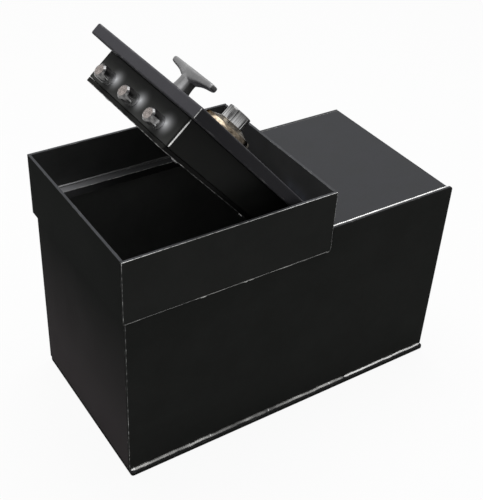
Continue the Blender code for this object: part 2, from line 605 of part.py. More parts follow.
def build_lock(door):
    """The lock case screwed under the door plate, its cover and the bolt that slides out of its end."""
    half = LOCK_WIDTH / 2
    tray_low = LOCK_BOTTOM + LOCK_COVER
    left = DIAL_X - half
    right = DIAL_X + half
    case = box("lock_case", (left, LOCK_FRONT, tray_low), (right, LOCK_BACK, LOCK_TOP), CAST_GREY, door)
    cut(case, box("lock_hollow", (left + LOCK_WALL, LOCK_FRONT + LOCK_WALL, LOCK_BOTTOM - WALL),
                  (right - LOCK_WALL, LOCK_BACK - LOCK_WALL, LOCK_TOP - LOCK_WALL), CAST_GREY, door, 0))
    bore = DIAL_SPINDLE_RADIUS + FIT_GAP
    cut(case, rod("lock_spindle_bore", bore, (DIAL_X, 0, LOCK_BOTTOM), LOCK_TOP + WALL, "Z", CAST_GREY, door,
                  SMALL_SIDES))
    bolt_half = LOCK_BOLT_WIDTH / 2
    thick = LOCK_BOLT_THICKNESS / 2
    wide = bolt_half + FIT_GAP
    tall = thick + FIT_GAP
    cut(case, box("lock_bolt_mouth", (DIAL_X - wide, LOCK_BACK - 2 * LOCK_WALL, LOCK_BOLT_Z - tall),
                  (DIAL_X + wide, LOCK_BACK + LOCK_WALL, LOCK_BOLT_Z + tall), CAST_GREY, door, 0))
    tip = LOCK_BACK + LOCK_BOLT_THROW
    box("lock_bolt", (DIAL_X - bolt_half, tip - LOCK_BOLT_LENGTH, LOCK_BOLT_Z - thick),
        (DIAL_X + bolt_half, tip, LOCK_BOLT_Z + thick), BRASS, door)
    cover = box("lock_case_cover", (left, LOCK_FRONT, LOCK_BOTTOM), (right, LOCK_BACK, tray_low - WELD_GAP),
                CAST_GREY, door)
    for number, (x, y) in enumerate(lock_screw_places(), 1):
        for item, name in ((case, "case"), (cover, "cover")):
            cut(item, rod(f"lock_{name}_hole_{number}", SCREW_RADIUS + FIT_GAP, (x, y, LOCK_BOTTOM - WALL),
                          LOCK_TOP + WALL, "Z", CAST_GREY, door, SMALL_SIDES))
        screw(f"lock_screw_{number}", (x, y), LOCK_BOTTOM - FIT_GAP, UNDERSIDE + LOCK_SCREW_GRIP, door)


def build():
    """Build the safe with its door standing open, as far as the photographed one."""
    build_body()
    build_neck()
    build_ledge()
    door = pivot("door_hinge", (PIVOT_X, 0, PIVOT_Z), DOOR_OPEN_DEG)
    build_hinge(door)
    build_door_plate(door)
    build_housing(door)
    build_boltwork(door)
    build_handle(door)
    build_dial(door)
    build_lock(door)


build()
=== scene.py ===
# %% [markdown]
# # An in-floor safe in black enamel
# The safe is a welded steel box with a collar at one end, and a thick door that stands open on two pins.
# The imported model gives every plate and pin its place. This lesson dresses that model: it loads it first,
# and then adds one finish or one piece at a time.

import json
from math import cos, exp, pi, radians, sin, sqrt

import bmesh
import bpy
from mathutils import Matrix, Vector, noise


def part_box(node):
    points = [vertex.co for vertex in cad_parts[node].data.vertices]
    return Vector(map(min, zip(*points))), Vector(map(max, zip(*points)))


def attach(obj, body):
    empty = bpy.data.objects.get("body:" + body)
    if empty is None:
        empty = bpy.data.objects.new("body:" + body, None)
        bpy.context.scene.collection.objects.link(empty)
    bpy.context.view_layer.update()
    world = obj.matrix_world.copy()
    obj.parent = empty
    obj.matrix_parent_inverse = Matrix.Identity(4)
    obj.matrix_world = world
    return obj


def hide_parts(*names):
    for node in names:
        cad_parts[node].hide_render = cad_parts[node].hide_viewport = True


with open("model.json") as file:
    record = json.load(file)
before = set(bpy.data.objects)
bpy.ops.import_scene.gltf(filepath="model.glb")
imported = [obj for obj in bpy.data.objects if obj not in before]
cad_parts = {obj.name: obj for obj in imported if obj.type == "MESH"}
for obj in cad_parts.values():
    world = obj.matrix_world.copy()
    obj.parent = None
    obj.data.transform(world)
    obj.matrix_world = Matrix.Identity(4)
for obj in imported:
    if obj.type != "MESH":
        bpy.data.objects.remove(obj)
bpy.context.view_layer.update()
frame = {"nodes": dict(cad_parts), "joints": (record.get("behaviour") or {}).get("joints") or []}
MM = 0.001

# %% [markdown]
# The open door is tilted, so its pieces are easier to build in the door's own directions: X runs from the
# free edge to the hinge, Y across the door and Z out of its face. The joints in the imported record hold
# these directions. Reading them here, instead of typing an angle, keeps the pieces on the CAD door.

# %% Find the door's own directions
JOINTS = {joint["name"]: joint for joint in frame["joints"]}
to_hinge = Vector(JOINTS["bolt_slide"]["axis"])
out_of_face = Vector(JOINTS["handle_turn"]["axis"])
DOOR = Matrix((to_hinge, out_of_face.cross(to_hinge), out_of_face)).transposed().to_4x4()
DOOR.translation = Vector(JOINTS["door_hinge"]["pos_m"])
TO_DOOR = DOOR.inverted()
FLAT = Matrix.Identity(4)


def door_box(node):
    """Lowest and highest corners of a CAD node in the door's own directions."""
    points = [TO_DOOR @ v.co for v in frame["nodes"][node].data.vertices]
    return [Vector([pick(p[i] for p in points) for i in range(3)]) for pick in (min, max)]


DOOR_LOW, DOOR_HIGH = door_box("door_plate")
FACE = DOOR_HIGH.z
print("door plate in its own directions", [round(x * 1000, 1) for x in (*DOOR_LOW, *DOOR_HIGH)], "mm")

# %% [markdown]
# The camera stands in front of the left end and looks down on the safe. Its place and lens come from the
# straight edges in the picture: edges that are parallel on the safe run together, and that fixes the view.
# The sensor's 36 mm lie along the picture's longer side, so the lens follows from the focal length in pixels.

# %% Set the camera
PICTURE_HEIGHT = 500
FOCAL_PIXELS = 949.7
SENSOR = 36
CAMERA_PLACE = Vector((-0.5197, -0.7455, 0.8335))
AZIMUTH = radians(-34.746)
ELEVATION = radians(36.36)
ROLL = radians(3.4)

scene = bpy.context.scene


def put_in_scene(name, data):
    """Make an object and put it in the scene."""
    made = bpy.data.objects.new(name, data)
    scene.collection.objects.link(made)
    return made


lens = bpy.data.cameras.new("camera")
lens.sensor_width = SENSOR
lens.lens = FOCAL_PIXELS * SENSOR / PICTURE_HEIGHT
camera = put_in_scene("camera", lens)
swing = Matrix.Rotation(AZIMUTH, 4, "Z") @ Matrix.Rotation(pi / 2 - ELEVATION, 4, "X")
camera.matrix_world = Matrix.Translation(CAMERA_PLACE) @ swing @ Matrix.Rotation(ROLL, 4, "Z")
scene.camera = camera
scene.view_settings.view_transform = "Standard"
print("lens", round(lens.lens, 2), "mm")

# %% [markdown]
# Nodes are easier to read in short lines, so a few small helpers come first: they add a node and link or set
# its inputs, do sums, read a noise, mix two colours and start a node group with named sockets. A group is the
# right home for an effect that several finishes share, because it is built once and tuned in each of them.

# %% Helpers for nodes
def node(tree, kind, inputs=None, **settings):
    """Add a node. An input is linked if it is given a socket, and set if it is given a value."""
    made = tree.nodes.new("ShaderNode" + kind)
    for key, value in settings.items():
        setattr(made, key, value)
    for key, value in (inputs or {}).items():
        if isinstance(value, bpy.types.NodeSocket):
            tree.links.new(value, made.inputs[key])
        else:
            made.inputs[key].default_value = value
    return made


def math(tree, operation, first, second):
    """Add a math node and return what it puts out."""
    return node(tree, "Math", {0: first, 1: second}, operation=operation).outputs[0]


def span(tree, value, low, high, to_low=0.0, to_high=1.0):
    """Stretch a value from one range to another and clamp it."""
    ends = {"Value": value, "From Min": low, "From Max": high, "To Min": to_low, "To Max": to_high}
    return node(tree, "MapRange", ends).outputs[0]


def here_on(tree):
    """The point on the surface, in the piece's own directions and in metres."""
    return node(tree, "TexCoord").outputs["Object"]


def noisy(tree, where, scale, detail, rough=0.5):
    """Add a noise texture and return its value."""
    inputs = {"Vector": where, "Scale": scale, "Detail": detail, "Roughness": rough}
    return node(tree, "TexNoise", inputs).outputs["Fac"]


def mixed(tree, factor, first, second):
    """Mix two colours and return the result."""
    mix = node(tree, "Mix", {0: factor}, data_type="RGBA")
    for socket, value in ((mix.inputs[6], first), (mix.inputs[7], second)):
        if isinstance(value, bpy.types.NodeSocket):
            tree.links.new(value, socket)
        else:
            socket.default_value = (*value, 1)
    return mix.outputs[2]


def effect(name, inputs, outputs):
    """Start a node group with number inputs and number outputs."""
    group = bpy.data.node_groups.new(name, "ShaderNodeTree")
    for label, value in inputs.items():
        group.interface.new_socket(label, in_out="INPUT", socket_type="NodeSocketFloat").default_value = value
    for label in outputs:
        group.interface.new_socket(label, in_out="OUTPUT", socket_type="NodeSocketFloat")
    return group, group.nodes.new("NodeGroupInput").outputs, group.nodes.new("NodeGroupOutput").inputs


print("node helpers ready")

# %% [markdown]
# Enamel wears through first on the edges, where it is thin and where things knock. Real wear comes and goes,
# so the first group turns a noise into broken patches. The second group finds the edges: a Bevel node bends
# the normal near an edge, and comparing it with the true normal gives a mask without any painting. It holds
# the first group inside it, since one group may use another.

# %% Effects: broken patches and worn edges
BROKEN, given, result = effect("broken", {"Patch": 70.0, "Cover": 0.5}, ["Mask"])
tree = BROKEN
patches = noisy(tree, here_on(tree), given["Patch"], 4.0, 0.65)
shown = math(tree, "SUBTRACT", patches, math(tree, "SUBTRACT", 1.0, given["Cover"]))
tree.links.new(span(tree, shown, -0.16, 0.1), result["Mask"])

EDGE_INPUTS = {"Width": 0.001, "Patch": 70.0, "Cover": 0.5}
WORN_EDGES, given, result = effect("worn_edges", EDGE_INPUTS, ["Mask"])
tree = WORN_EDGES
bent = node(tree, "Bevel", {"Radius": given["Width"]}, samples=6)
true_normal = node(tree, "NewGeometry").outputs["Normal"]
same = node(tree, "VectorMath", {0: bent.outputs[0], 1: true_normal}, operation="DOT_PRODUCT")
edge = span(tree, same.outputs["Value"], 0.995, 0.93)
chips = node(tree, "Group", {"Patch": given["Patch"], "Cover": given["Cover"]}, node_tree=BROKEN)
tree.links.new(math(tree, "MULTIPLY", edge, chips.outputs["Mask"]), result["Mask"])
print("groups", BROKEN.name, "and", WORN_EDGES.name)

# %% [markdown]
# Sprayed enamel isn't glass. It dries with a fine orange peel, it follows the slow waves that welding leaves
# in a plate, and shop dust sits in it as pale specks. One group gives all three, at sizes in real metres,
# because noise in object coordinates keeps its size on a large plate and on a small one.

# %% Effect: sprayed skin
WAVE_SHARE = 9.0
SKIN_INPUTS = {"Peel": 650.0, "Waves": 9.0}
SPRAYED_SKIN, given, result = effect("sprayed_skin", SKIN_INPUTS, ["Height", "Speck", "Cloud"])
tree = SPRAYED_SKIN
here = here_on(tree)
slow = math(tree, "MULTIPLY", noisy(tree, here, given["Waves"], 1.0), WAVE_SHARE)
tree.links.new(math(tree, "ADD", noisy(tree, here, given["Peel"], 2.0), slow), result["Height"])
tree.links.new(span(tree, noisy(tree, here, 2100.0, 1.0), 0.66, 0.78), result["Speck"])
tree.links.new(span(tree, noisy(tree, here, 21.0, 5.0, 0.6), 0.36, 0.66), result["Cloud"])
print("group", SPRAYED_SKIN.name)

# %% [markdown]
# Faces that look up are made paler, partly by dust and partly as a painted sheen of the light from above,
# while upright ones stay dark. The normal's Z tells them apart. It is read in the object's own directions,
# so the pale tone stays on the same face when a piece moves.

# %% Effect: dust and painted sheen
DUST_AND_SHEEN, given, result = effect("dust_and_sheen", {"Amount": 0.9, "Patch": 34.0}, ["Mask"])
tree = DUST_AND_SHEEN
upward = node(tree, "SeparateXYZ", {0: node(tree, "TexCoord").outputs["Normal"]}).outputs["Z"]
uneven = span(tree, noisy(tree, here_on(tree), given["Patch"], 6.0, 0.7), 0.3, 0.6, 0.72, 1.0)
amount = math(tree, "MULTIPLY", span(tree, upward, 0.6, 0.95), given["Amount"])
tree.links.new(math(tree, "MULTIPLY", amount, uneven), result["Mask"])
print("group", DUST_AND_SHEEN.name)

# %% [markdown]
# Turned and drawn metal shows fine lines that all run one way. Squeezing a noise along two directions and
# stretching it along the third gives such lines. The three inputs say how fine they are along X, Y and Z.

# %% Effect: fine lines
LINE_INPUTS = {"Along X": 40.0, "Along Y": 40.0, "Along Z": 40.0}
FINE_LINES, given, result = effect("fine_lines", LINE_INPUTS, ["Height", "Value"])
tree = FINE_LINES
squeeze = node(tree, "CombineXYZ", {"X": given["Along X"], "Y": given["Along Y"], "Z": given["Along Z"]})
drawn = node(tree, "VectorMath", {0: here_on(tree), 1: squeeze.outputs[0]}, operation="MULTIPLY")
lines = noisy(tree, drawn.outputs[0], 1.0, 3.0, 0.6)
tree.links.new(lines, result["Height"])
tree.links.new(span(tree, lines, 0.32, 0.68), result["Value"])
print("group", FINE_LINES.name)

# %% [markdown]
# Every finish is a material with one Principled shader. These helpers make the empty material, place a group
# in it and link what comes out. Numbers that are the same all over are set on the shader's own sockets.

# %% Helpers for finishes
def finish(name, **sockets):
    """Start a material and return it with its node tree. The sockets are the shader's constant values."""
    made = bpy.data.materials.new(name)
    made.use_nodes = True
    shader = made.node_tree.nodes["Principled BSDF"]
    for label, value in sockets.items():
        shader.inputs[label.replace("_", " ")].default_value = value
    return made, made.node_tree


def use(tree, group, **values):
    """Place an effect in a material with its own values and return what it puts out."""
    placed = node(tree, "Group", node_tree=group)
    for label, value in values.items():
        placed.inputs[label.replace("_", " ")].default_value = value
    return placed.outputs


def linked(made, height=None, depth=0.0, **values):
    """Link values to the shader's sockets of these names, and a height to its normal through a bump node."""
    tree = made.node_tree
    if height:
        bump = node(tree, "Bump", {"Height": height, "Distance": depth, "Strength": 1.0})
        values["Normal"] = bump.outputs[0]
    for label, value in values.items():
        tree.links.new(value, tree.nodes["Principled BSDF"].inputs[label.replace("_", " ")])
    return made


print("finish helpers ready")

# %% [markdown]
# The plates carry a dull black enamel, and nearly all of what is seen of it is diffuse: light from above makes
# the top mid grey, and the upright sides fall off to near black. It has specks, slow clouds in the gloss, a
# paler tone on faces that look up that is partly dust and partly painted sheen, and bare metal where an edge has
# lost its paint. Pale spots, each the distance to a point faded out over its reach, are painted light beside the
# bolts and along the ledge, and one more lies as a pale streak on the right wall. The left end is a darker copy,
# painted shade, and grows paler towards the bottom as a painted reflection of the floor. Edges that take most
# knocks get a cap that is partly wear and partly painted highlight, and a lighter lining inside is painted
# light that keeps the inside from going fully black.

# %% Finish: black enamel
BARE = (0.72, 0.72, 0.71)
BARE_METALLIC = 0.7
# Paler tones for faces that look up: partly dust, partly a painted sheen of the light from above.
TOP_DUST_AND_SHEEN = (0.062, 0.063, 0.068)
RIM_DUST_AND_SHEEN = (0.085, 0.087, 0.094)
# Colour of the painted glow beside the bolts, a painted reflection of light off them.
PAINTED_GLOW = (0.85, 0.86, 0.88)
SPOT_FALL = 2.4
SPECK_SHARE = 0.3
SPECK_LIFT = 3
GLOSS_SPREAD = 0.12
SKIN_DEPTH = 0.00006


def enamel(name, colour, pale, rough=0.6, specular=0.004, wear=0.0007, cover=0.3, dust_sheen=None, peel=650.0,
           pale_spots=(), reach=0.01, spot_tint=PAINTED_GLOW, floor_sheen=None):
    """Black enamel: specks, cloudy gloss, worn edges, dust and painted sheen, painted floor reflection, pale
    spots.
    """
    made, tree = finish(name, Specular_IOR_Level=specular)
    skin = use(tree, SPRAYED_SKIN, Peel=peel)
    worn = use(tree, WORN_EDGES, Width=wear, Cover=cover)["Mask"]
    shade = mixed(tree, skin["Cloud"], colour, pale)
    if dust_sheen:
        shade = mixed(tree, use(tree, DUST_AND_SHEEN)["Mask"], shade, dust_sheen)
    here = here_on(tree) if floor_sheen or pale_spots else None
    if floor_sheen:
        low, high, tint = floor_sheen
        height = node(tree, "SeparateXYZ", {0: here}).outputs["Z"]
        shade = mixed(tree, span(tree, height, high, low), shade, tint)
    for point in pale_spots:
        away = node(tree, "VectorMath", {0: here, 1: point}, operation="DISTANCE").outputs["Value"]
        near = math(tree, "POWER", span(tree, away, 0.0, reach, 1.0, 0.0), SPOT_FALL)
        shade = mixed(tree, near, shade, spot_tint)
    specks = math(tree, "MULTIPLY", skin["Speck"], SPECK_SHARE)
    shade = mixed(tree, specks, shade, [SPECK_LIFT * c for c in pale])
    return linked(
        made, skin["Height"], SKIN_DEPTH, Base_Color=mixed(tree, worn, shade, BARE),
        Metallic=math(tree, "MULTIPLY", worn, BARE_METALLIC),
        Roughness=span(tree, skin["Cloud"], 0.0, 1.0, rough, rough + GLOSS_SPREAD))


# Painted reflection: a pale glow on the end plate beside each bolt, where light bounces off the chrome.
GLOW_SHIFT = Vector((0, -9.4 * MM, 4.0 * MM))
end_face = door_box("housing_free_end_plate")[0].x
BOLT_GLOWS = []
for number in (1, 2, 3):
    low, high = door_box(f"bolt_{number}")
    beside = (low + high) / 2 + GLOW_SHIFT
    BOLT_GLOWS.append(DOOR @ Vector((end_face, beside.y, beside.z)))
BLACK = (0.05, 0.052, 0.049), (0.058, 0.06, 0.057)
BODY_ENAMEL = enamel("body_enamel", *BLACK, dust_sheen=TOP_DUST_AND_SHEEN)
NECK_ENAMEL = enamel("neck_enamel", (0.06, 0.062, 0.059), (0.068, 0.07, 0.067), dust_sheen=RIM_DUST_AND_SHEEN)
# Painted shade: a darker copy of the enamel for the left end, paler low down as a painted floor reflection.
LEFT_ENAMEL = enamel(
    "left_enamel", (0.034, 0.036, 0.034), (0.04, 0.042, 0.04), dust_sheen=RIM_DUST_AND_SHEEN,
    floor_sheen=(0.02, 0.215, (0.124, 0.112, 0.115)))
DOOR_ENAMEL = enamel(
    "door_enamel", (0.066, 0.065, 0.072), (0.076, 0.075, 0.082),
    rough=0.48, specular=0.03, wear=0.0009, cover=0.34)
COVER_ENAMEL = enamel(
    "cover_enamel", (0.012, 0.012, 0.011), (0.016, 0.016, 0.015),
    rough=0.36, specular=0.04, cover=0.2)
HOUSING_ENAMEL = enamel(
    "housing_enamel", (0.036, 0.037, 0.035), (0.044, 0.045, 0.043),
    rough=0.36, specular=0.04, cover=0.22)
END_ENAMEL = enamel(
    "end_enamel", (0.036, 0.037, 0.035), (0.048, 0.049, 0.047), rough=0.3, specular=0.06,
    wear=0.0008, cover=0.1, pale_spots=BOLT_GLOWS, reach=0.016)
# A pale bluish streak on the right wall, just beside the door's edge.
wall_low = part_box("neck_right_plate")[0]
WALL_STREAK = [(wall_low.x, y, z) for y, z in ((-0.0585, 0.26), (-0.0468, 0.2612), (-0.0331, 0.2626))]
# Painted light: this lighter enamel on the inside faces keeps the inside from going fully black.
INNER_ENAMEL = enamel(
    "inner_enamel", (0.085, 0.087, 0.086), (0.105, 0.107, 0.106), rough=0.44, specular=0.05,
    dust_sheen=RIM_DUST_AND_SHEEN, pale_spots=WALL_STREAK, reach=0.019, spot_tint=(0.17, 0.18, 0.21))
# Painted light: the ledge and the weld behind it grow paler towards the ledge's left end.
ledge_low, ledge_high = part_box("ledge_back_bar")
LEDGE_END = (ledge_low.x, ledge_high.y, ledge_high.z)
LEDGE_SKIN = {"rough": 0.44, "specular": 0.05, "wear": 0.0009, "cover": 0.5, "pale_spots": [LEDGE_END]}
LEDGE_ENAMEL = enamel(
    "ledge_enamel", (0.045, 0.046, 0.045), (0.058, 0.059, 0.058), **LEDGE_SKIN,
    dust_sheen=(0.035, 0.035, 0.037), reach=0.14, spot_tint=(0.36, 0.36, 0.375))
SEAM_ENAMEL = enamel(
    "seam_enamel", (0.1, 0.102, 0.1), (0.115, 0.117, 0.115), **LEDGE_SKIN,
    reach=0.16, spot_tint=(0.97, 0.97, 0.99))
# Painted light: a lighter grey lining for the inside faces keeps the inside from going fully black.
PAINTED_LIGHT_LINING = enamel("lining_painted_light", (0.25, 0.255, 0.25), (0.29, 0.295, 0.29), specular=0.02, wear=0.0006)
WEAR_HIGHLIGHT_METALLIC = 0.4


def rubbed(name, cover, patch):
    """An edge that is partly worn and partly a painted highlight: bare metal shows through in broken patches."""
    made, tree = finish(name, Roughness=0.4, Specular_IOR_Level=0.05)
    bare = use(tree, BROKEN, Patch=patch, Cover=cover)["Mask"]
    metallic = math(tree, "MULTIPLY", bare, WEAR_HIGHLIGHT_METALLIC)
    return linked(made, Base_Color=mixed(tree, bare, BLACK[1], BARE), Metallic=metallic)


# Partly wear, partly painted highlight: bright broken lines along the rims and corners.
RIM_WEAR_AND_HIGHLIGHT = rubbed("rim_wear_and_highlight", cover=0.58, patch=190.0)
CORNER_WEAR_AND_HIGHLIGHT = rubbed("corner_wear_and_highlight", cover=0.42, patch=150.0)
print("eleven enamels, two rubbed edges")

# %% [markdown]
# The bolts are plated, the handle is a satin casting and the dial's knob is turned aluminium. A metal keeps
# its colour in Base Color and its character in the roughness, and fine lines break both. A second colour can
# come in along one axis: painted shade on the ring's hinge side and towards the knob's tip, and a painted
# reflection near the base of each bolt. The handle has a painted highlight band and painted shade on one side,
# both found from the normal.

# %% Finishes: bright metals
# Painted shade, and a painted reflection for the bolts, that metals take along one axis.
PAINTED_SHADE = (0.03, 0.029, 0.028)
PAINTED_REFLECTION = (0.8, 0.8, 0.81)
FLECKS_FROM = 0.7
FLECK_SHARE = 0.5


def bright(name, dark, light, rough, spread, lines, depth=0.00002, metallic=1.0, painted_light=None, rim=1.0):
    """A metal with fine lines. painted_light is an axis, its ends, a share and the painted colour that comes in
    there.
    """
    made, tree = finish(name, Metallic=metallic, Specular_Tint=(rim, rim, rim, 1))
    cut = use(tree, FINE_LINES, Along_X=lines[0], Along_Y=lines[1], Along_Z=lines[2])
    shade = mixed(tree, cut["Value"], dark, light)
    if painted_light:
        axis, start, end, share, tint = painted_light
        along = node(tree, "SeparateXYZ", {0: here_on(tree)}).outputs[axis]
        flecks = span(tree, cut["Value"], FLECKS_FROM, 1.0, 1.0, FLECK_SHARE)
        painted_mix = math(tree, "MULTIPLY", span(tree, along, start, end, 0.0, share), flecks)
        shade = mixed(tree, painted_mix, shade, tint)
    roughness = span(tree, cut["Value"], 0.0, 1.0, rough, rough + spread)
    return linked(made, cut["Height"], depth, Base_Color=shade, Roughness=roughness)


# Painted reflection: the flank grows paler towards its base, standing for the glow on the plate that it mirrors.
CHROME = bright(
    "bolt_chrome", (0.03, 0.03, 0.033), (0.24, 0.236, 0.232), rough=0.07, spread=0.08,
    lines=(260, 260, 160), metallic=0.85, painted_light=("Z", 0.007, 0.014, 0.8, PAINTED_REFLECTION))
SAWN_END = bright(
    "bolt_end", (0.07, 0.06, 0.056), (0.46, 0.41, 0.385), rough=0.45, spread=0.2,
    lines=(760, 760, 760), depth=0.0001, metallic=0.6)
# Painted shade: the knob darkens towards its tip.
KNOB_SILVER = bright(
    "knob_silver", (0.26, 0.26, 0.262), (0.7, 0.7, 0.695), rough=0.16, spread=0.1,
    lines=(900, 900, 10), depth=0.00001, metallic=0.9, painted_light=("Z", 0.015, 0.027, 0.8, PAINTED_SHADE))
# Painted shade darkens the ring towards the hinge side, and the cap near that end is a painted glint.
RING_GILT = bright(
    "ring_gilt", (0.03, 0.022, 0.014), (0.24, 0.2, 0.15), rough=0.12, spread=0.14,
    lines=(160, 160, 300), depth=0.00001, painted_light=("X", -0.012, 0.006, 0.95, PAINTED_SHADE), rim=0.2)
RING_PAINTED_GLINT = bright(
    "ring_painted_glint", (0.3, 0.25, 0.18), (0.95, 0.9, 0.8), rough=0.2, spread=0.1,
    lines=(260, 260, 300), depth=0.00001, metallic=0.3)
SKIRT_SATIN = bright(
    "skirt_satin", (0.26, 0.23, 0.19), (0.42, 0.38, 0.32), rough=0.2, spread=0.14,
    lines=(90, 90, 200), metallic=0.9, rim=0.2)
STEEL = bright("bare_steel", (0.4, 0.4, 0.4), (0.46, 0.46, 0.46), rough=0.3, spread=0.2, lines=(900, 90, 90))
BRASS = bright(
    "turned_brass", (0.64, 0.46, 0.2), (0.72, 0.52, 0.24), rough=0.22, spread=0.16,
    lines=(90, 90, 1800))
ZINC = bright(
    "cast_zinc", (0.36, 0.36, 0.37), (0.42, 0.42, 0.43), rough=0.42, spread=0.16,
    lines=(420, 420, 420), depth=0.00006)
# The handle's bright band is a painted highlight and its dark side is painted shade, both found from the normal.
CAST_GREYS = (0.19, 0.19, 0.194), (0.29, 0.29, 0.29)
PAINTED_HIGHLIGHT = (0.66, 0.66, 0.67)
SHADE_SIDE = (0.26, -0.966, 0.0)
BAND_RISE, BAND_FALL, DARK_RISE = (0.0, 0.44), (0.66, 0.48), (0.7, 0.84)
TURN_SHARE = 0.8
NEAR_STEM, OUT_ON_ARM, ARM_SHARE = 0.015, 0.034, 0.45
CAST_DEPTH = 0.00003


def cast_satin():
    """A tumbled casting with a pebbled skin, a painted highlight band and painted shade on one side."""
    made, tree = finish("handle_casting", Specular_IOR_Level=0.1, Metallic=0.1)
    skin = use(tree, SPRAYED_SKIN, Peel=1300.0, Waves=60.0)
    shade = mixed(tree, skin["Cloud"], *CAST_GREYS)
    spots = node(tree, "TexCoord").outputs
    facing = node(tree, "VectorMath", {0: spots["Normal"], 1: SHADE_SIDE}, operation="DOT_PRODUCT")
    away = facing.outputs["Value"]
    across = node(tree, "SeparateXYZ", {0: spots["Object"]}).outputs["Y"]
    squared = math(tree, "MULTIPLY", across, across)
    from_stem = span(tree, squared, NEAR_STEM ** 2, OUT_ON_ARM ** 2, 1.0, ARM_SHARE)
    band = math(tree, "MULTIPLY", span(tree, away, *BAND_RISE), span(tree, away, *BAND_FALL))
    shade = mixed(tree, math(tree, "MULTIPLY", band, TURN_SHARE), shade, PAINTED_HIGHLIGHT)
    dark = math(tree, "MULTIPLY", span(tree, away, *DARK_RISE, 0.0, TURN_SHARE), from_stem)
    roughness = span(tree, skin["Cloud"], 0.0, 1.0, 0.34, 0.46)
    return linked(
        made, skin["Height"], CAST_DEPTH, Base_Color=mixed(tree, dark, shade, PAINTED_SHADE), Roughness=roughness)


CASTING = cast_satin()
print("ten metals")

# %% [markdown]
# Two small finishes are left. Weld metal is bright on its ripples and sooty between them, which a noise and
# the edge group can give together. The marks on the dial are filled with a black lacquer.

# %% Finishes: weld metal and mark lacquer
BEAD_DEPTH = 0.00012


def weld_metal(name, sooty, clean, cover, metal):
    """Weld beads, brushed bright on the crests and dark in the hollows."""
    made, tree = finish(name)
    skin = use(tree, SPRAYED_SKIN, Peel=1500.0, Waves=140.0)
    worn = use(tree, WORN_EDGES, Width=0.0012, Patch=160.0, Cover=cover)["Mask"]
    shade = mixed(tree, skin["Cloud"], sooty, clean)
    return linked(
        made, skin["Height"], BEAD_DEPTH, Base_Color=mixed(tree, worn, shade, BARE),
        Metallic=span(tree, skin["Cloud"], 0.0, 1.0, metal, 0.8),
        Roughness=span(tree, skin["Cloud"], 0.0, 1.0, 0.5, 0.36))


WHITE_WELD = weld_metal("white_weld", (0.7, 0.7, 0.69), (0.97, 0.97, 0.95), cover=0.3, metal=0.7)
BRIGHT_WELD = weld_metal("bright_weld", (0.2, 0.2, 0.195), (0.6, 0.6, 0.58), cover=0.5, metal=0.2)
PAINTED_WELD = weld_metal("painted_weld", (0.03, 0.03, 0.03), (0.08, 0.08, 0.08), cover=0.35, metal=0.1)
MARK_BLACK = enamel(
    "mark_black", (0.012, 0.012, 0.012), (0.018, 0.017, 0.016), rough=0.34, specular=0.3,
    wear=0.0002, cover=0.2, peel=1800.0)
print("weld and mark finishes")

# %% [markdown]
# The safe stands on a white sweep under a large soft lamp, so the upward faces are lit and the upright ones
# fall off to near black. The floor is a pale diffuse plane that keeps the shadow. Camera, glossy and
# transmission rays see most of it as plain white, which turns the background white without more light.

# %% Floor, world and lamps
FLOOR_HALF = 8.0
WHITE_SHARE = 0.94
PAPER = (0.84, 0.84, 0.84), (0.88, 0.88, 0.88)
BOUNCE = (0.34, 0.34, 0.34)
AMBIENT = 0.16


def seen_white(tree):
    """One for rays that should meet plain white: from the camera, and off or through a surface."""
    path = node(tree, "LightPath").outputs
    seen = math(tree, "MAXIMUM", path["Is Camera Ray"], path["Is Glossy Ray"])
    return math(tree, "MAXIMUM", seen, path["Is Transmission Ray"])


def white_floor():
    """A diffuse floor that shows mostly as white and still takes the shadow."""
    made = bpy.data.materials.new("white_floor")
    made.use_nodes = True
    tree = made.node_tree
    tree.nodes.clear()
    seen = seen_white(tree)
    paper = mixed(tree, node(tree, "TexNoise", {"Scale": 40.0}).outputs["Fac"], *PAPER)
    matt = node(tree, "BsdfDiffuse", {"Color": mixed(tree, seen, BOUNCE, paper)})
    glow = node(tree, "Emission", {"Strength": 1.0})
    share = math(tree, "MULTIPLY", seen, WHITE_SHARE)
    both = node(tree, "MixShader", {0: share, 1: matt.outputs[0], 2: glow.outputs[0]})
    node(tree, "OutputMaterial", {"Surface": both.outputs[0]})
    return made


sheet = bmesh.new()
bmesh.ops.create_grid(sheet, x_segments=8, y_segments=8, size=FLOOR_HALF)
floor_mesh = bpy.data.meshes.new("floor")
sheet.to_mesh(floor_mesh)
sheet.free()
floor_mesh.materials.append(white_floor())
floor = put_in_scene("floor", floor_mesh)

world = bpy.data.worlds.new("studio")
scene.world = world
world.use_nodes = True
sky = world.node_tree
sky.nodes.clear()
dim = node(sky, "Background", {"Color": (1, 1, 1, 1), "Strength": AMBIENT})
white = node(sky, "Background", {"Color": (1, 1, 1, 1), "Strength": 1.0})
either = node(sky, "MixShader", {0: seen_white(sky), 1: dim.outputs[0], 2: white.outputs[0]})
node(sky, "OutputWorld", {"Surface": either.outputs[0]})

LAMP_PLACE, LAMP_TARGET = Vector((0.15, 0.35, 1.9)), Vector((0.0, 0.0, 0.2))
light = bpy.data.lights.new("overhead_softbox", "AREA")
light.size = 1.3
light.energy = 31
lamp = put_in_scene("overhead_softbox", light)
lamp.location = LAMP_PLACE
lamp.rotation_euler = (LAMP_TARGET - LAMP_PLACE).to_track_quat("-Z", "Y").to_euler()
print("floor, world and one lamp")

# %% [markdown]
# Pieces share a few steps: a mesh becomes an object, takes its finish, stands in the safe's or the door's
# directions, rides on a body and hides the CAD node it stands for. One helper does all of them, so no piece
# can be left behind when the door moves. A piece may also have caps, which are other finishes on those of
# its faces that pass a test.

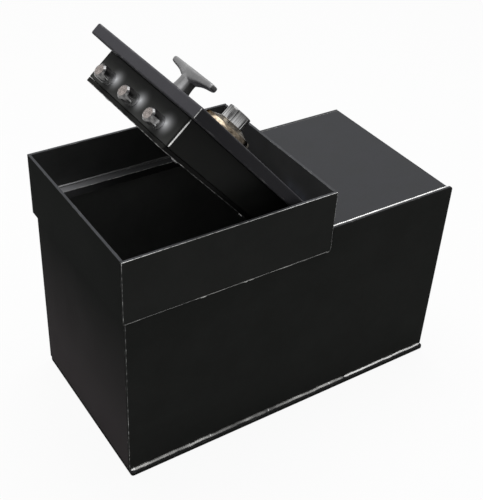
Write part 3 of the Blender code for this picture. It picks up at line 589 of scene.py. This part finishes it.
# %% Helper to set a piece
def set_piece(name, shape, coat, body, stands_for=(), at=FLAT, smooth_deg=0, caps=()):
    """Turn a bmesh into a piece that rides on a body. A cap is a coat and a test for the faces that take it."""
    mesh = bpy.data.meshes.new(name)
    bmesh.ops.recalc_face_normals(shape, faces=shape.faces)
    shape.normal_update()
    for face in shape.faces:
        face.material_index = max([i for i, cap in enumerate(caps, 1) if cap[1](face)], default=0)
    shape.to_mesh(mesh)
    shape.free()
    if smooth_deg:
        mesh.shade_smooth()
        mesh.set_sharp_from_angle(angle=radians(smooth_deg))
    for layer in (coat, *[cap[0] for cap in caps]):
        mesh.materials.append(layer)
    piece = put_in_scene(name, mesh)
    piece.matrix_world = at
    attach(piece, body)
    if stands_for:
        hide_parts(*stands_for)


SHARP = radians(30)


def soften(shape, width, steps=3):
    """Round every sharp edge of a bmesh."""
    sharp = [e for e in shape.edges if len(e.link_faces) == 2 and e.calc_face_angle() > SHARP]
    bmesh.ops.bevel(
        shape, geom=sharp, offset=width, segments=steps, affect="EDGES", profile=0.5,
        clamp_overlap=True)


print("piece helpers ready")

# %% [markdown]
# The plates are sheared from sheet, so their edges are straight and only lightly broken with a file. A plate
# is drawn as an outline with small arcs at its corners and given its thickness. Its edges are rounded in three
# steps, which catches a thin highlight that a single chamfer would miss. The rounded strips that things knock
# against are picked out by the way their faces look, and take a cap that is partly wear and partly painted
# highlight.

# %% Plates of the box, the neck and the door
ARC_STEPS = 5
SQUARE = [0.4 * MM] * 4
FILED = 0.6 * MM
FACING = 0.9
TURNED = 0.2


def rounded(corners, radii):
    """Walk round a rectangle and swap each corner for an arc of its own radius."""
    points = []
    for i, (corner, radius) in enumerate(zip(corners, radii)):
        back = (Vector(corners[i - 1]) - Vector(corner)).normalized()
        ahead = (Vector(corners[(i + 1) % len(corners)]) - Vector(corner)).normalized()
        centre = Vector(corner) + (back + ahead) * radius
        for step in range(ARC_STEPS + 1):
            turn = step / ARC_STEPS * pi / 2
            points.append(centre - ahead * radius * cos(turn) - back * radius * sin(turn))
    return points


def plate(node_name, thin, coat, radii=SQUARE, edge=FILED, in_door=False, inward=0,
          lining=PAINTED_LIGHT_LINING, rubs=()):
    """Rebuild a CAD plate with softened edges. inward is the side of it that looks into the box."""
    low, high = door_box(node_name) if in_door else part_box(node_name)
    across, along = [axis for axis in range(3) if axis != thin]
    a, b = (low[across], low[along]), (high[across], high[along])
    shape = bmesh.new()
    ring = []
    for point in rounded([(a[0], a[1]), (b[0], a[1]), (b[0], b[1]), (a[0], b[1])], radii):
        place = Vector((0, 0, 0))
        place[thin], place[across], place[along] = low[thin], point[0], point[1]
        ring.append(shape.verts.new(place))
    bottom = shape.faces.new(ring)
    lifted = bmesh.ops.extrude_face_region(shape, geom=[bottom])["geom"]
    rise = Vector((0, 0, 0))
    rise[thin] = high[thin] - low[thin]
    bmesh.ops.translate(shape, vec=rise, verts=[v for v in lifted if isinstance(v, bmesh.types.BMVert)])
    bmesh.ops.recalc_face_normals(shape, faces=shape.faces)
    soften(shape, edge)
    if in_door:
        bmesh.ops.transform(shape, matrix=DOOR, verts=shape.verts)
    name = node_name.replace("_plate", "_sheet").replace("_bar", "_strip")
    caps = [(lining, lambda face: face.normal[thin] * inward > FACING), *rubs]
    set_piece(name, shape, coat, "door" if in_door else "safe_body", [node_name], caps=caps)


def front_strip(face):
    """True on the rounded strips along the front face's edges."""
    return face.normal.y < -TURNED and max(abs(face.normal.x), abs(face.normal.z)) > TURNED


def left_corner(face):
    """True on the strip at the front face's left edge."""
    return front_strip(face) and face.normal.x < -TURNED


def top_edge(face):
    """True on the rounded strips round a bar's top."""
    return TURNED < face.normal.z < 0.95


def free_corner(face):
    """True on the door's upright edge at the front of its free end."""
    way = TO_DOOR.to_3x3() @ face.normal
    return max(way.x, way.y) < -0.5


def lower_edge(face):
    """True on the cover's outer edges at the free end and at the front."""
    way = TO_DOOR.to_3x3() @ face.normal
    return way.z < -TURNED and min(way.x, way.y) < -TURNED


plate("front_plate", 1, BODY_ENAMEL, [0.4 * MM, 2 * MM, 4 * MM, 0.4 * MM], inward=1,
      rubs=[(CORNER_WEAR_AND_HIGHLIGHT, left_corner)])
plate("base_plate", 2, BODY_ENAMEL, [3 * MM, 3 * MM, 2 * MM, 4 * MM])
plate("top_plate", 2, BODY_ENAMEL, inward=-1)
plate("back_plate", 1, BODY_ENAMEL, inward=-1)
plate("left_end_plate", 0, LEFT_ENAMEL, inward=1)
plate("right_end_plate", 0, BODY_ENAMEL, inward=-1)
plate("neck_front_plate", 1, NECK_ENAMEL, edge=0.9 * MM, inward=1,
      rubs=[(RIM_WEAR_AND_HIGHLIGHT, front_strip), (CORNER_WEAR_AND_HIGHLIGHT, left_corner)])
plate("neck_back_plate", 1, NECK_ENAMEL, inward=-1, lining=INNER_ENAMEL)
plate("neck_left_plate", 0, LEFT_ENAMEL, inward=1)
right_wall = bmesh.new()
right_wall.from_mesh(frame["nodes"]["neck_right_plate"].data)
bmesh.ops.remove_doubles(right_wall, verts=right_wall.verts, dist=0.01 * MM)
bmesh.ops.dissolve_limit(right_wall, angle_limit=radians(1), verts=right_wall.verts, edges=right_wall.edges)
bmesh.ops.recalc_face_normals(right_wall, faces=right_wall.faces)
soften(right_wall, FILED)
set_piece(
    "neck_right_sheet", right_wall, NECK_ENAMEL, "safe_body", ["neck_right_plate"],
    caps=[(INNER_ENAMEL, lambda face: face.normal.x < -FACING)])
plate("door_plate", 2, DOOR_ENAMEL, [2 * MM] * 4, 1.9 * MM, in_door=True,
      rubs=[(RIM_WEAR_AND_HIGHLIGHT, free_corner)])
plate("cover_plate", 2, COVER_ENAMEL, [1.5 * MM] * 4, 0.7 * MM, in_door=True, rubs=[(CORNER_WEAR_AND_HIGHLIGHT, lower_edge)])
for side in ("left", "front", "back"):
    plate(f"ledge_{side}_bar", 2, LEDGE_ENAMEL, edge=0.8 * MM, rubs=[(CORNER_WEAR_AND_HIGHLIGHT, top_edge)])
print("twelve plates, three ledge bars")

# %% [markdown]
# The plates are joined by weld beads. A welder pushes the torch forward in small steps, so a bead is a row of
# overlapping ripples that wanders a little. Rings of points follow the seam, and each ring's size comes from
# the ripple and a little noise. Short thick beads are the lumps where the torch stopped, and tacks hold the
# neck inside. The thin bead behind the ledge is painted over, and its paleness towards the left end is
# painted light.

# %% Weld beads
BEAD_SIDES = 10
RIPPLE_PITCH = 2.6 * MM
RINGS_PER_RIPPLE = 6
RIPPLE_SHARE, WOBBLE_SHARE, WANDER_SHARE = 0.2, 0.18, 0.2
WOBBLE_PITCH, WANDER_PITCH, WANDER_LANE = 120, 60, 7.3


def bridge(shape, rings):
    """Join each ring of points to the next with faces. A ring may be a single point."""
    sides = max(len(ring) for ring in rings)
    for first, second in zip(rings, rings[1:]):
        for k in range(sides):
            m = (k + 1) % sides
            corners = [ring[i % len(ring)] for ring, i in ((first, k), (first, m), (second, m), (second, k))]
            shape.faces.new(list(dict.fromkeys(corners)))


def weld_bead(name, start, end, radius, coat, seed, body="safe_body", at=FLAT):
    """Lay a bead of overlapping ripples along a straight seam."""
    start, end = Vector(start), Vector(end)
    run = (end - start).length
    along = (end - start) / run
    side = along.orthogonal().normalized()
    other = along.cross(side)
    shape = bmesh.new()
    rings = []
    count = max(8, int(run / RIPPLE_PITCH * RINGS_PER_RIPPLE))
    for i in range(count + 1):
        s = run * i / count
        ripple = abs(sin(pi * s / RIPPLE_PITCH))
        wobble = noise.noise((s * WOBBLE_PITCH, seed, 0.5))
        ends = sqrt(max(0.02, min(1, min(s, run - s) / (2 * radius))))
        size = radius * (1 - RIPPLE_SHARE + RIPPLE_SHARE * ripple + WOBBLE_SHARE * wobble) * ends
        shift = WANDER_SHARE * radius * noise.noise((s * WANDER_PITCH, WANDER_LANE, seed))
        centre = start + along * s + side * shift
        turns = [2 * pi * k / BEAD_SIDES for k in range(BEAD_SIDES)]
        rings.append([shape.verts.new(centre + size * (cos(t) * side + sin(t) * other)) for t in turns])
    bridge(shape, rings)
    shape.faces.new(rings[0])
    shape.faces.new(rings[-1])
    set_piece(name, shape, coat, body, at=at, smooth_deg=60)


def x_bead(name, start, end, y, z, radius, coat, seed):
    """Lay a bead that runs along X."""
    weld_bead(name, (start, y, z), (end, y, z), radius, coat, seed)


def x_dabs(name, spots, y, z, radius, coat, seed):
    """Lay a row of short beads along X. A spot is a bead's middle and half its length."""
    for number, (middle, half) in enumerate(spots, 1):
        x_bead(f"{name}_{number}", middle - half, middle + half, y, z, radius, coat, seed + number)


box_low, box_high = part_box("front_plate")
base_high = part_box("base_plate")[1]
top_low, top_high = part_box("top_plate")
neck_low, neck_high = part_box("neck_front_plate")
left_low, left_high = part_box("neck_left_plate")
right_low, right_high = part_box("neck_right_plate")
end_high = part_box("right_end_plate")[1]
back_low, back_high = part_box("back_plate")
seam_front = box_low.y - 0.6 * MM
seam_base = base_high.z + 0.5 * MM
seam_back = (back_low.y + back_high.y) / 2 + 0.2 * MM
seam_neck = neck_low.y + 0.9 * MM
tack_z = neck_low.z - 0.3 * MM
SEAM_BREAK = 0.089
STOPS = [(x, 3.4 * MM) for x in (-0.206, -0.196, -0.107, -0.026, 0.065, 0.152)]
x_bead("base_front_left_weld", box_low.x + 2 * MM, SEAM_BREAK, seam_front, seam_base, 2.5 * MM, BRIGHT_WELD, 1)
x_bead("base_front_right_weld", SEAM_BREAK, box_high.x - 2 * MM, seam_front, seam_base, 2.0 * MM, WHITE_WELD, 1)
x_bead("top_front_weld", top_low.x, top_high.x, top_low.y, top_high.z - 0.5 * MM, 1.1 * MM, WHITE_WELD, 2)
x_dabs("base_front_stop", STOPS, seam_front, seam_base + 0.5 * MM, 3.1 * MM, WHITE_WELD, 60)
x_bead("ledge_back_weld", ledge_low.x, ledge_high.x, seam_back, ledge_high.z, 1.3 * MM, SEAM_ENAMEL, 90)
x_bead("top_back_weld", top_low.x, top_high.x, top_high.y, top_high.z - 0.6 * MM, 1.0 * MM, PAINTED_WELD, 3)
step_x, step_z = right_high.x + 0.3 * MM, top_high.z + 0.2 * MM
weld_bead("top_neck_weld", (step_x, top_low.y, step_z), (step_x, top_high.y, step_z), 1.4 * MM, PAINTED_WELD, 4)
foot_x = end_high.x + 0.4 * MM
weld_bead(
    "right_base_weld", (foot_x, back_low.y, seam_base), (foot_x, box_low.y + 4 * MM, seam_base),
    1.6 * MM, PAINTED_WELD, 5)
inner_x, inner_y = end_high.x + 0.3 * MM, box_high.y + 0.3 * MM
weld_bead(
    "right_front_weld", (inner_x, inner_y, seam_base), (inner_x, inner_y, top_high.z - 6 * MM),
    1.5 * MM, PAINTED_WELD, 6)
NECK_SEAMS = (
    (neck_low.x + 1 * MM, -0.193, BRIGHT_WELD), (-0.194, -0.132, PAINTED_WELD),
    (-0.133, neck_high.x - 1 * MM, BRIGHT_WELD))
for number, (start, end, coat) in enumerate(NECK_SEAMS, 1):
    x_bead(f"neck_front_seam_{number}", start, end, seam_neck, neck_low.z, 0.8 * MM, coat, 8 + number)
LUMPS = ((-0.1228, 4 * MM), (-0.0715, 3 * MM), (-0.0645, 4 * MM), (0.0345, 3 * MM))
FRONT_TACKS = ((-0.141, 9 * MM), (-0.083, 6 * MM), (-0.005, 8 * MM))
LEFT_TACKS = ((-0.07, 8 * MM), (0.07, 8 * MM))
BACK_TACKS = ((-0.15, 9 * MM), (-0.05, 9 * MM))
x_dabs("neck_front_lump", LUMPS, seam_neck, neck_low.z - 0.4 * MM, 1.25 * MM, BRIGHT_WELD, 70)
x_dabs("neck_front_tack", FRONT_TACKS, neck_high.y - 0.4 * MM, tack_z, 1.5 * MM, BRIGHT_WELD, 10)
for number, (middle, half) in enumerate(LEFT_TACKS, 1):
    start, end = [(left_high.x - 0.4 * MM, middle + way * half, left_low.z - 0.3 * MM) for way in (-1, 1)]
    weld_bead(f"neck_left_tack_{number}", start, end, 1.5 * MM, PAINTED_WELD, 20 + number)
x_dabs("neck_back_tack", BACK_TACKS, back_high.y + 0.5 * MM, tack_z, 1.5 * MM, PAINTED_WELD, 30)
for name, x in (("left", left_high.x + 0.3 * MM), ("right", right_low.x - 0.3 * MM)):
    for side, y in (("front", neck_high.y + 0.4 * MM), ("back", -neck_high.y - 0.4 * MM)):
        weld_bead(f"neck_{name}_{side}_corner_weld", (x, y, top_high.z + 1 * MM), (x, y, neck_high.z - 3 * MM),
                  1.2 * MM, PAINTED_WELD, 40)
case_low, case_high = door_box("housing_free_end_plate")
HOUSING_SEAMS = (("front", case_low.y + 0.4 * MM, WHITE_WELD), ("back", case_high.y - 0.4 * MM, PAINTED_WELD))
for side, y, coat in HOUSING_SEAMS:
    weld_bead(f"housing_{side}_corner_weld", (case_high.x, y, case_low.z + 0.5 * MM),
              (case_high.x, y, case_high.z - 0.5 * MM), 1.1 * MM, coat, 50, "door", DOOR)
print("weld beads laid")

# %% [markdown]
# Round pieces come off a lathe. A lathe in code takes a profile, a list of radii and heights, and turns it
# about an axis. The radius may also change round the turn, which is how flutes for the fingers are made.

# %% Helper: a lathe
def lathe(profile, sides, fluting=None):
    """Turn a profile of (radius, height) points about Z. fluting changes the radius round the turn."""
    shape = bmesh.new()
    rings = []
    for radius, height in profile:
        ring = []
        for k in range(sides if radius else 1):
            turn = 2 * pi * k / sides
            r = radius - (fluting(turn, radius, height) if fluting else 0)
            ring.append(shape.verts.new((r * cos(turn), r * sin(turn), height)))
        rings.append(ring)
    bridge(shape, rings)
    bmesh.ops.remove_doubles(shape, verts=shape.verts, dist=0.001 * MM)
    return shape


print("lathe ready")

# %% [markdown]
# The three bolts are solid bars with a chamfer, so that they find their holes as the door shuts. Each is a
# profile on the lathe with a shallow dish and a tool ring in the end face. The end is left as it was cut, and
# the faces that look along the bolt take a duller finish than the plated flank.

# %% Bolts
BOLT_SIDES = 72
BOLT_END = [(2.4, 0.12), (2.2, 0), (2.0, 0), (1.8, 0.1), (0.3, 1.7), (0, 2.3)]
for number in (1, 2, 3):
    low, high = door_box(f"bolt_{number}")
    radius = (high.y - low.y) / 2
    length = high.x - low.x
    profile = [
        (0, 0.3 * MM), (1.5 * MM, 0.28 * MM), *[(radius - inset * MM, back * MM) for inset, back in BOLT_END],
        (radius, length - 1 * MM), (radius - 1 * MM, length), (0, length)]
    lay = Matrix.Translation((low.x, (low.y + high.y) / 2, (low.z + high.z) / 2))
    lay = DOOR @ (lay @ Matrix.Rotation(pi / 2, 4, "Y"))
    set_piece(f"chromed_bolt_{number}", lathe(profile, BOLT_SIDES), CHROME, "boltwork",
              [f"bolt_{number}"], lay, smooth_deg=28, caps=[(SAWN_END, lambda face: face.normal.z < -FACING)])
print("three bolts, radius", round(radius * 1000, 2), "mm")

# %% [markdown]
# The handle is one casting: a round stem that swells into two arms with a flat top. Cast corners are never
# sharp, and the stem runs into the arms in a wide curve. The arms are lofted from rounded sections, the stem
# is turned, and a voxel remesh melts both into one skin that a little smoothing turns into fillets.

# %% Cast handle
HANDLE_AXIS = TO_DOOR @ Vector(JOINTS["handle_turn"]["pos_m"])
SECTION_POINTS = 28
SECTION_POWER = 0.5
VOXEL = 0.55 * MM
MELT_SMOOTHING = 7
TIP_START, TIP_HEIGHT = 0.9, 7.0
STEM_SIDES = 64
handle_low, handle_high = door_box("t_handle")
handle_top = handle_high.z - 0.1 * MM
arm_half = handle_high.y - 1.6 * MM
ARM_SECTIONS = [
    (0.0, 13.4, 8.7), (0.14, 13.3, 8.5), (0.26, 12.2, 7.4), (0.42, 10.0, 6.5), (0.6, 8.5, 6.0),
    (0.8, 7.6, 5.8), (0.91, 7.0, 5.6), (0.965, 5.8, 4.8), (0.99, 4.0, 3.4), (1.0, 1.6, 1.4)]


def curl(value):
    """Bend a circle's cosine or sine toward a rounded rectangle."""
    return abs(value) ** SECTION_POWER * (1 if value > 0 else -1)


def arm_section(share, height, half_width):
    """Points of one cross section of the arms, with its top level with the handle's top."""
    drop = 0.5 * max(0.0, abs(share) - TIP_START) / (1 - TIP_START) * (TIP_HEIGHT - height)
    middle = handle_top - (drop + height / 2) * MM
    points = []
    for k in range(SECTION_POINTS):
        turn = 2 * pi * k / SECTION_POINTS
        x = HANDLE_AXIS.x + half_width * MM * curl(cos(turn))
        points.append((x, share * arm_half, middle + height / 2 * MM * curl(sin(turn))))
    return points


shape = bmesh.new()
sections = [(-s, h, w) for s, h, w in reversed(ARM_SECTIONS[1:])] + ARM_SECTIONS
rings = []
for section in sections:
    rings.append([shape.verts.new(point) for point in arm_section(*section)])
bridge(shape, rings)
shape.faces.new(rings[0])
shape.faces.new(rings[-1])
STEM = [(0, 0), (10.1, 0), (10.2, 0.6), (10.0, 2.0), (9.4, 6.0), (9.1, 10.0), (9.2, 14.0), (8.6, 18.0),
        (0, 18.0)]
stem = lathe([(r * MM, h * MM) for r, h in STEM], STEM_SIDES)
stem_mesh = bpy.data.meshes.new("stem")
bmesh.ops.translate(stem, vec=(HANDLE_AXIS.x, 0, handle_low.z), verts=stem.verts)
stem.to_mesh(stem_mesh)
stem.free()
shape.from_mesh(stem_mesh)


def blank_from(shape):
    """Turn a bmesh into a plain object for modifiers to work on."""
    mesh = bpy.data.meshes.new("blank")
    bmesh.ops.recalc_face_normals(shape, faces=shape.faces)
    shape.to_mesh(mesh)
    shape.free()
    return put_in_scene("blank", mesh)


def modified(blank):
    """Take the shape that an object's modifiers give, and remove the object."""
    bpy.context.view_layer.update()
    done = bmesh.new()
    done.from_mesh(blank.evaluated_get(bpy.context.evaluated_depsgraph_get()).data)
    bpy.data.objects.remove(blank)
    return done


blank = blank_from(shape)
skin = blank.modifiers.new("skin", "REMESH")
skin.mode = "VOXEL"
skin.voxel_size = VOXEL
blur = blank.modifiers.new("blur", "SMOOTH")
blur.factor = 0.5
blur.iterations = MELT_SMOOTHING
set_piece("cast_t_handle", modified(blank), CASTING, "handle", ["t_handle"], DOOR, smooth_deg=70)
print("handle", round(2 * arm_half * 1000, 1), "mm across")

# %% [markdown]
# The combination dial has a satin metal skirt, shaped as a low cone, and a smooth silver knob with six thin
# grooves down its side for the fingers. Both come off the lathe, and the grooves are a small change of the
# radius at six places round the turn.

# %% Dial and knob
DIAL_AXIS = TO_DOOR @ Vector(JOINTS["dial_turn"]["pos_m"])
dial_low, dial_high = door_box("dial")
RIM_RADIUS = (dial_high.y - dial_low.y) / 2
RIM_TOP = 7.8 * MM
CROWN_RADIUS = 14 * MM
CROWN_TOP = 13.2 * MM
KNOB_TOP = dial_high.z - FACE
SKIRT_LOW = dial_low.z - FACE
KNOB_SIDES = 240
GROOVES = 6
GROOVE_DEPTH = 1.0 * MM
GROOVE_SPREAD = 0.2
GROOVE_START = radians(37.5)
SKIRT_SIDES = 128
SKIRT_BORE = 4.4 * MM
AT_DIAL = DOOR @ Matrix.Translation((DIAL_AXIS.x, 0, FACE))

skirt = [
    (SKIRT_BORE, SKIRT_LOW), (RIM_RADIUS - 0.5 * MM, SKIRT_LOW), (RIM_RADIUS, SKIRT_LOW + 0.5 * MM),
    (RIM_RADIUS, RIM_TOP - 0.8 * MM), (RIM_RADIUS - 0.3 * MM, RIM_TOP - 0.2 * MM),
    (RIM_RADIUS - 0.9 * MM, RIM_TOP + 0.1 * MM), (CROWN_RADIUS - 0.6 * MM, CROWN_TOP),
    (SKIRT_BORE, CROWN_TOP), (SKIRT_BORE, SKIRT_LOW)]
set_piece(
    "dial_skirt", lathe(skirt, SKIRT_SIDES), SKIRT_SATIN, "dial", ["dial"], AT_DIAL, smooth_deg=35)


def groove(turn, radius, height):
    """Depth of the finger grooves, which run out below the knob's rounded top."""
    if radius < CROWN_RADIUS - 0.3 * MM or height > KNOB_TOP - 1 * MM:
        return 0
    nearest = (GROOVES * (turn - GROOVE_START) + pi) % (2 * pi) - pi
    return GROOVE_DEPTH * exp(-(nearest / GROOVE_SPREAD) ** 2)


flank = [(CROWN_RADIUS, CROWN_TOP + i * (KNOB_TOP - 1.2 * MM - CROWN_TOP) / 6) for i in range(7)]
knob = [
    (0, CROWN_TOP - 0.5 * MM), (CROWN_RADIUS - 0.4 * MM, CROWN_TOP - 0.5 * MM), *flank,
    (CROWN_RADIUS - 0.4 * MM, KNOB_TOP - 0.4 * MM), (CROWN_RADIUS - 1.2 * MM, KNOB_TOP),
    (CROWN_RADIUS - 2.6 * MM, KNOB_TOP), (CROWN_RADIUS - 3.2 * MM, KNOB_TOP - 0.6 * MM),
    (1.5 * MM, KNOB_TOP - 0.9 * MM), (0, KNOB_TOP - 0.9 * MM)]
set_piece(
    "dial_knob", lathe(knob, KNOB_SIDES, groove), KNOB_SILVER, "dial", at=AT_DIAL, smooth_deg=32,
    caps=[(STEEL, lambda face: face.normal.z > FACING)])
print("dial", round(2 * RIM_RADIUS * 1000, 1), "mm across, knob", round(KNOB_TOP * 1000, 1), "mm high")

# %% [markdown]
# Marks and numbers lie on the cone, so each needs a small frame of its own: one direction out along the cone,
# one round it and one straight off its face. The numbers are text turned into a mesh, read from the outside
# edge as on any dial, and only every tenth mark has one.

# %% Marks and numbers
cone_rim, cone_foot = RIM_RADIUS - 0.9 * MM, RIM_TOP + 0.1 * MM
cone = (Vector((cone_rim, cone_foot)) - Vector((CROWN_RADIUS - 0.6 * MM, CROWN_TOP))).normalized()
MARKS = 100
MARK_INSET, NUMBER_INSET = 0.7 * MM, 7.6 * MM
MARK_WIDTH = 0.34 * MM
MARK_RAISE = 0.12 * MM
NUMBER_SIZE = 4.2 * MM


def on_cone(turn, from_rim):
    """Frame on the dial's cone: X round it, Y out to the rim, Z off its face."""
    outward = Vector((cos(turn), sin(turn), 0)) * cone.x + Vector((0, 0, cone.y))
    radius = cone_rim - from_rim * cone.x
    place = Vector((radius * cos(turn), radius * sin(turn), cone_foot - from_rim * cone.y))
    off = Vector((cos(turn), sin(turn), 0)) * -cone.y + Vector((0, 0, cone.x))
    made = Matrix((outward.cross(off), outward, off)).transposed().to_4x4()
    made.translation = place
    return made


def brick(shape, size, at):
    """Add a block of this size to a bmesh, moved by a matrix."""
    verts = bmesh.ops.create_cube(shape, size=1)["verts"]
    bmesh.ops.scale(shape, vec=size, verts=verts)
    bmesh.ops.transform(shape, matrix=at, verts=verts)


marks = bmesh.new()
for k in range(MARKS):
    reach = (4.4 if k % 10 == 0 else 3.4 if k % 5 == 0 else 2.2) * MM
    where = on_cone(2 * pi * k / MARKS, MARK_INSET + reach / 2)
    brick(marks, (MARK_WIDTH, reach, 2 * MARK_RAISE), where)
set_piece("dial_marks", marks, MARK_BLACK, "dial", at=AT_DIAL)

numbers = bmesh.new()
for k in range(0, MARKS, 10):
    letters = bpy.data.curves.new("number", "FONT")
    letters.body = str(k)
    letters.size = NUMBER_SIZE
    letters.align_x = "CENTER"
    letters.align_y = "CENTER"
    letters.extrude = MARK_RAISE
    letters.resolution_u = 4
    written = put_in_scene("number", letters)
    bpy.context.view_layer.update()
    drawn = bpy.data.meshes.new_from_object(written.evaluated_get(bpy.context.evaluated_depsgraph_get()))
    drawn.transform(on_cone(-2 * pi * k / MARKS, NUMBER_INSET))
    numbers.from_mesh(drawn)
    bpy.data.objects.remove(written)
bmesh.ops.remove_doubles(numbers, verts=numbers.verts, dist=0.000001)
set_piece("dial_numbers", numbers, MARK_BLACK, "dial", at=AT_DIAL)
print("hundred marks, ten numbers")

# %% [markdown]
# A bright ring is fixed to the door round the dial, with one index mark to read the numbers against. Its
# sloped face mirrors the room, and that is the gold sliver that shows beside the knob. Towards the hinge side
# it is darkened with painted shade, and a patch at that end carries a painted glint.

# %% Dial ring
ring_low, ring_high = door_box("dial_ring")
RING_RADIUS = (ring_high.y - ring_low.y) / 2
RING_TOP = ring_high.z - FACE
BORE = RIM_RADIUS + 0.5 * MM
RING_SIDES = 160
BRIGHT_FROM = 0.4 * RING_RADIUS
collar = [
    (BORE, 0.3 * MM), (RING_RADIUS - 0.4 * MM, 0.3 * MM), (RING_RADIUS, 0.7 * MM),
    (RING_RADIUS, 3 * MM), (RING_RADIUS - 0.25 * MM, 3.6 * MM), (BORE + 1.6 * MM, RING_TOP - 0.5 * MM),
    (BORE + 1.1 * MM, RING_TOP), (BORE + 0.3 * MM, RING_TOP), (BORE, RING_TOP - 0.3 * MM),
    (BORE, 0.3 * MM)]


def bright_end(face):
    """True on the end of the ring that takes a painted glint."""
    return face.calc_center_median().x > BRIGHT_FROM and face.normal.y < 0


set_piece(
    "dial_collar", lathe(collar, RING_SIDES), RING_GILT, "door", ["dial_ring"], AT_DIAL,
    smooth_deg=35, caps=[(RING_PAINTED_GLINT, bright_end)])
index = bmesh.new()
brick(index, (0.8 * MM, 0.7 * MM, 0.24 * MM), Matrix.Translation((BORE + 0.7 * MM, 0, RING_TOP)))
soften(index, 0.08 * MM, 2)
set_piece("dial_index", index, MARK_BLACK, "door", at=AT_DIAL)
print("ring", round(2 * RING_RADIUS * 1000, 1), "mm across")

# %% [markdown]
# Four screws hold the housing's cover. Each head is domed and has a slot for a driver. The dome comes off the
# lathe, and a Boolean cuts the slot, the way a saw would.

# %% Cover screws
SLOT_WIDTH = 1.0 * MM
SLOT_FLOOR = 1.4 * MM
SAW_REACH = 4 * MM
SCREW_SIDES = 40
HEAD = 2.2 * MM
SHANK = 2 * MM
SLOT_STEP = radians(37)


def slotted(profile):
    """Turn a screw and saw a slot across its head, which points down."""
    blank = blank_from(lathe(profile, SCREW_SIDES))
    blade = bmesh.new()
    brick(blade, (SLOT_WIDTH, 3 * SAW_REACH, 2 * SAW_REACH), Matrix.Translation((0, 0, SLOT_FLOOR - SAW_REACH)))
    saw = blank_from(blade)
    sawn = blank.modifiers.new("slot", "BOOLEAN")
    sawn.object = saw
    sawn.solver = "EXACT"
    done = modified(blank)
    bpy.data.objects.remove(saw)
    return done


for number in (1, 2, 3, 4):
    low, high = door_box(f"cover_screw_{number}")
    centre = (low + high) / 2
    radius = (high.y - low.y) / 2
    length = high.z - low.z
    dome = [(0, 0.7 * MM), (1.4 * MM, 0.73 * MM), (2.6 * MM, 0.9 * MM), (3.3 * MM, 1.2 * MM), (radius, 1.7 * MM),
            (radius, HEAD), (SHANK, HEAD), (SHANK, length), (0, length)]
    place = DOOR @ Matrix.Translation((centre.x, centre.y, low.z)) @ Matrix.Rotation(SLOT_STEP * number, 4, "Z")
    set_piece(f"slotted_screw_{number}", slotted(dome), STEEL, "door",
              [f"cover_screw_{number}"], place, smooth_deg=35)
print("four cover screws")

# %% [markdown]
# The rest of the CAD already has the right shape: the drilled end plate, the hinge, the bolt bar and the lock.
# These nodes stay and only change their finish, chosen by the start of their names. Pins, posts,
# spindles and screws are plain steel.

# %% Finishes for the CAD pieces that stay
COATS = [
    ("hinge_boss", NECK_ENAMEL), ("housing_free", END_ENAMEL), ("housing_", HOUSING_ENAMEL),
    ("bolt_bush", BRASS), ("drive_cam", BRASS), ("combination_wheel", BRASS), ("lock_bolt", BRASS),
    ("lock_case", ZINC)]
stayed = 0
for name, item in frame["nodes"].items():
    if item.hide_render:
        continue
    coat = next((coat for start, coat in COATS if name.startswith(start)), STEEL)
    item.data.materials.clear()
    item.data.materials.append(coat)
    stayed += 1
print(stayed, "CAD nodes keep their shape")
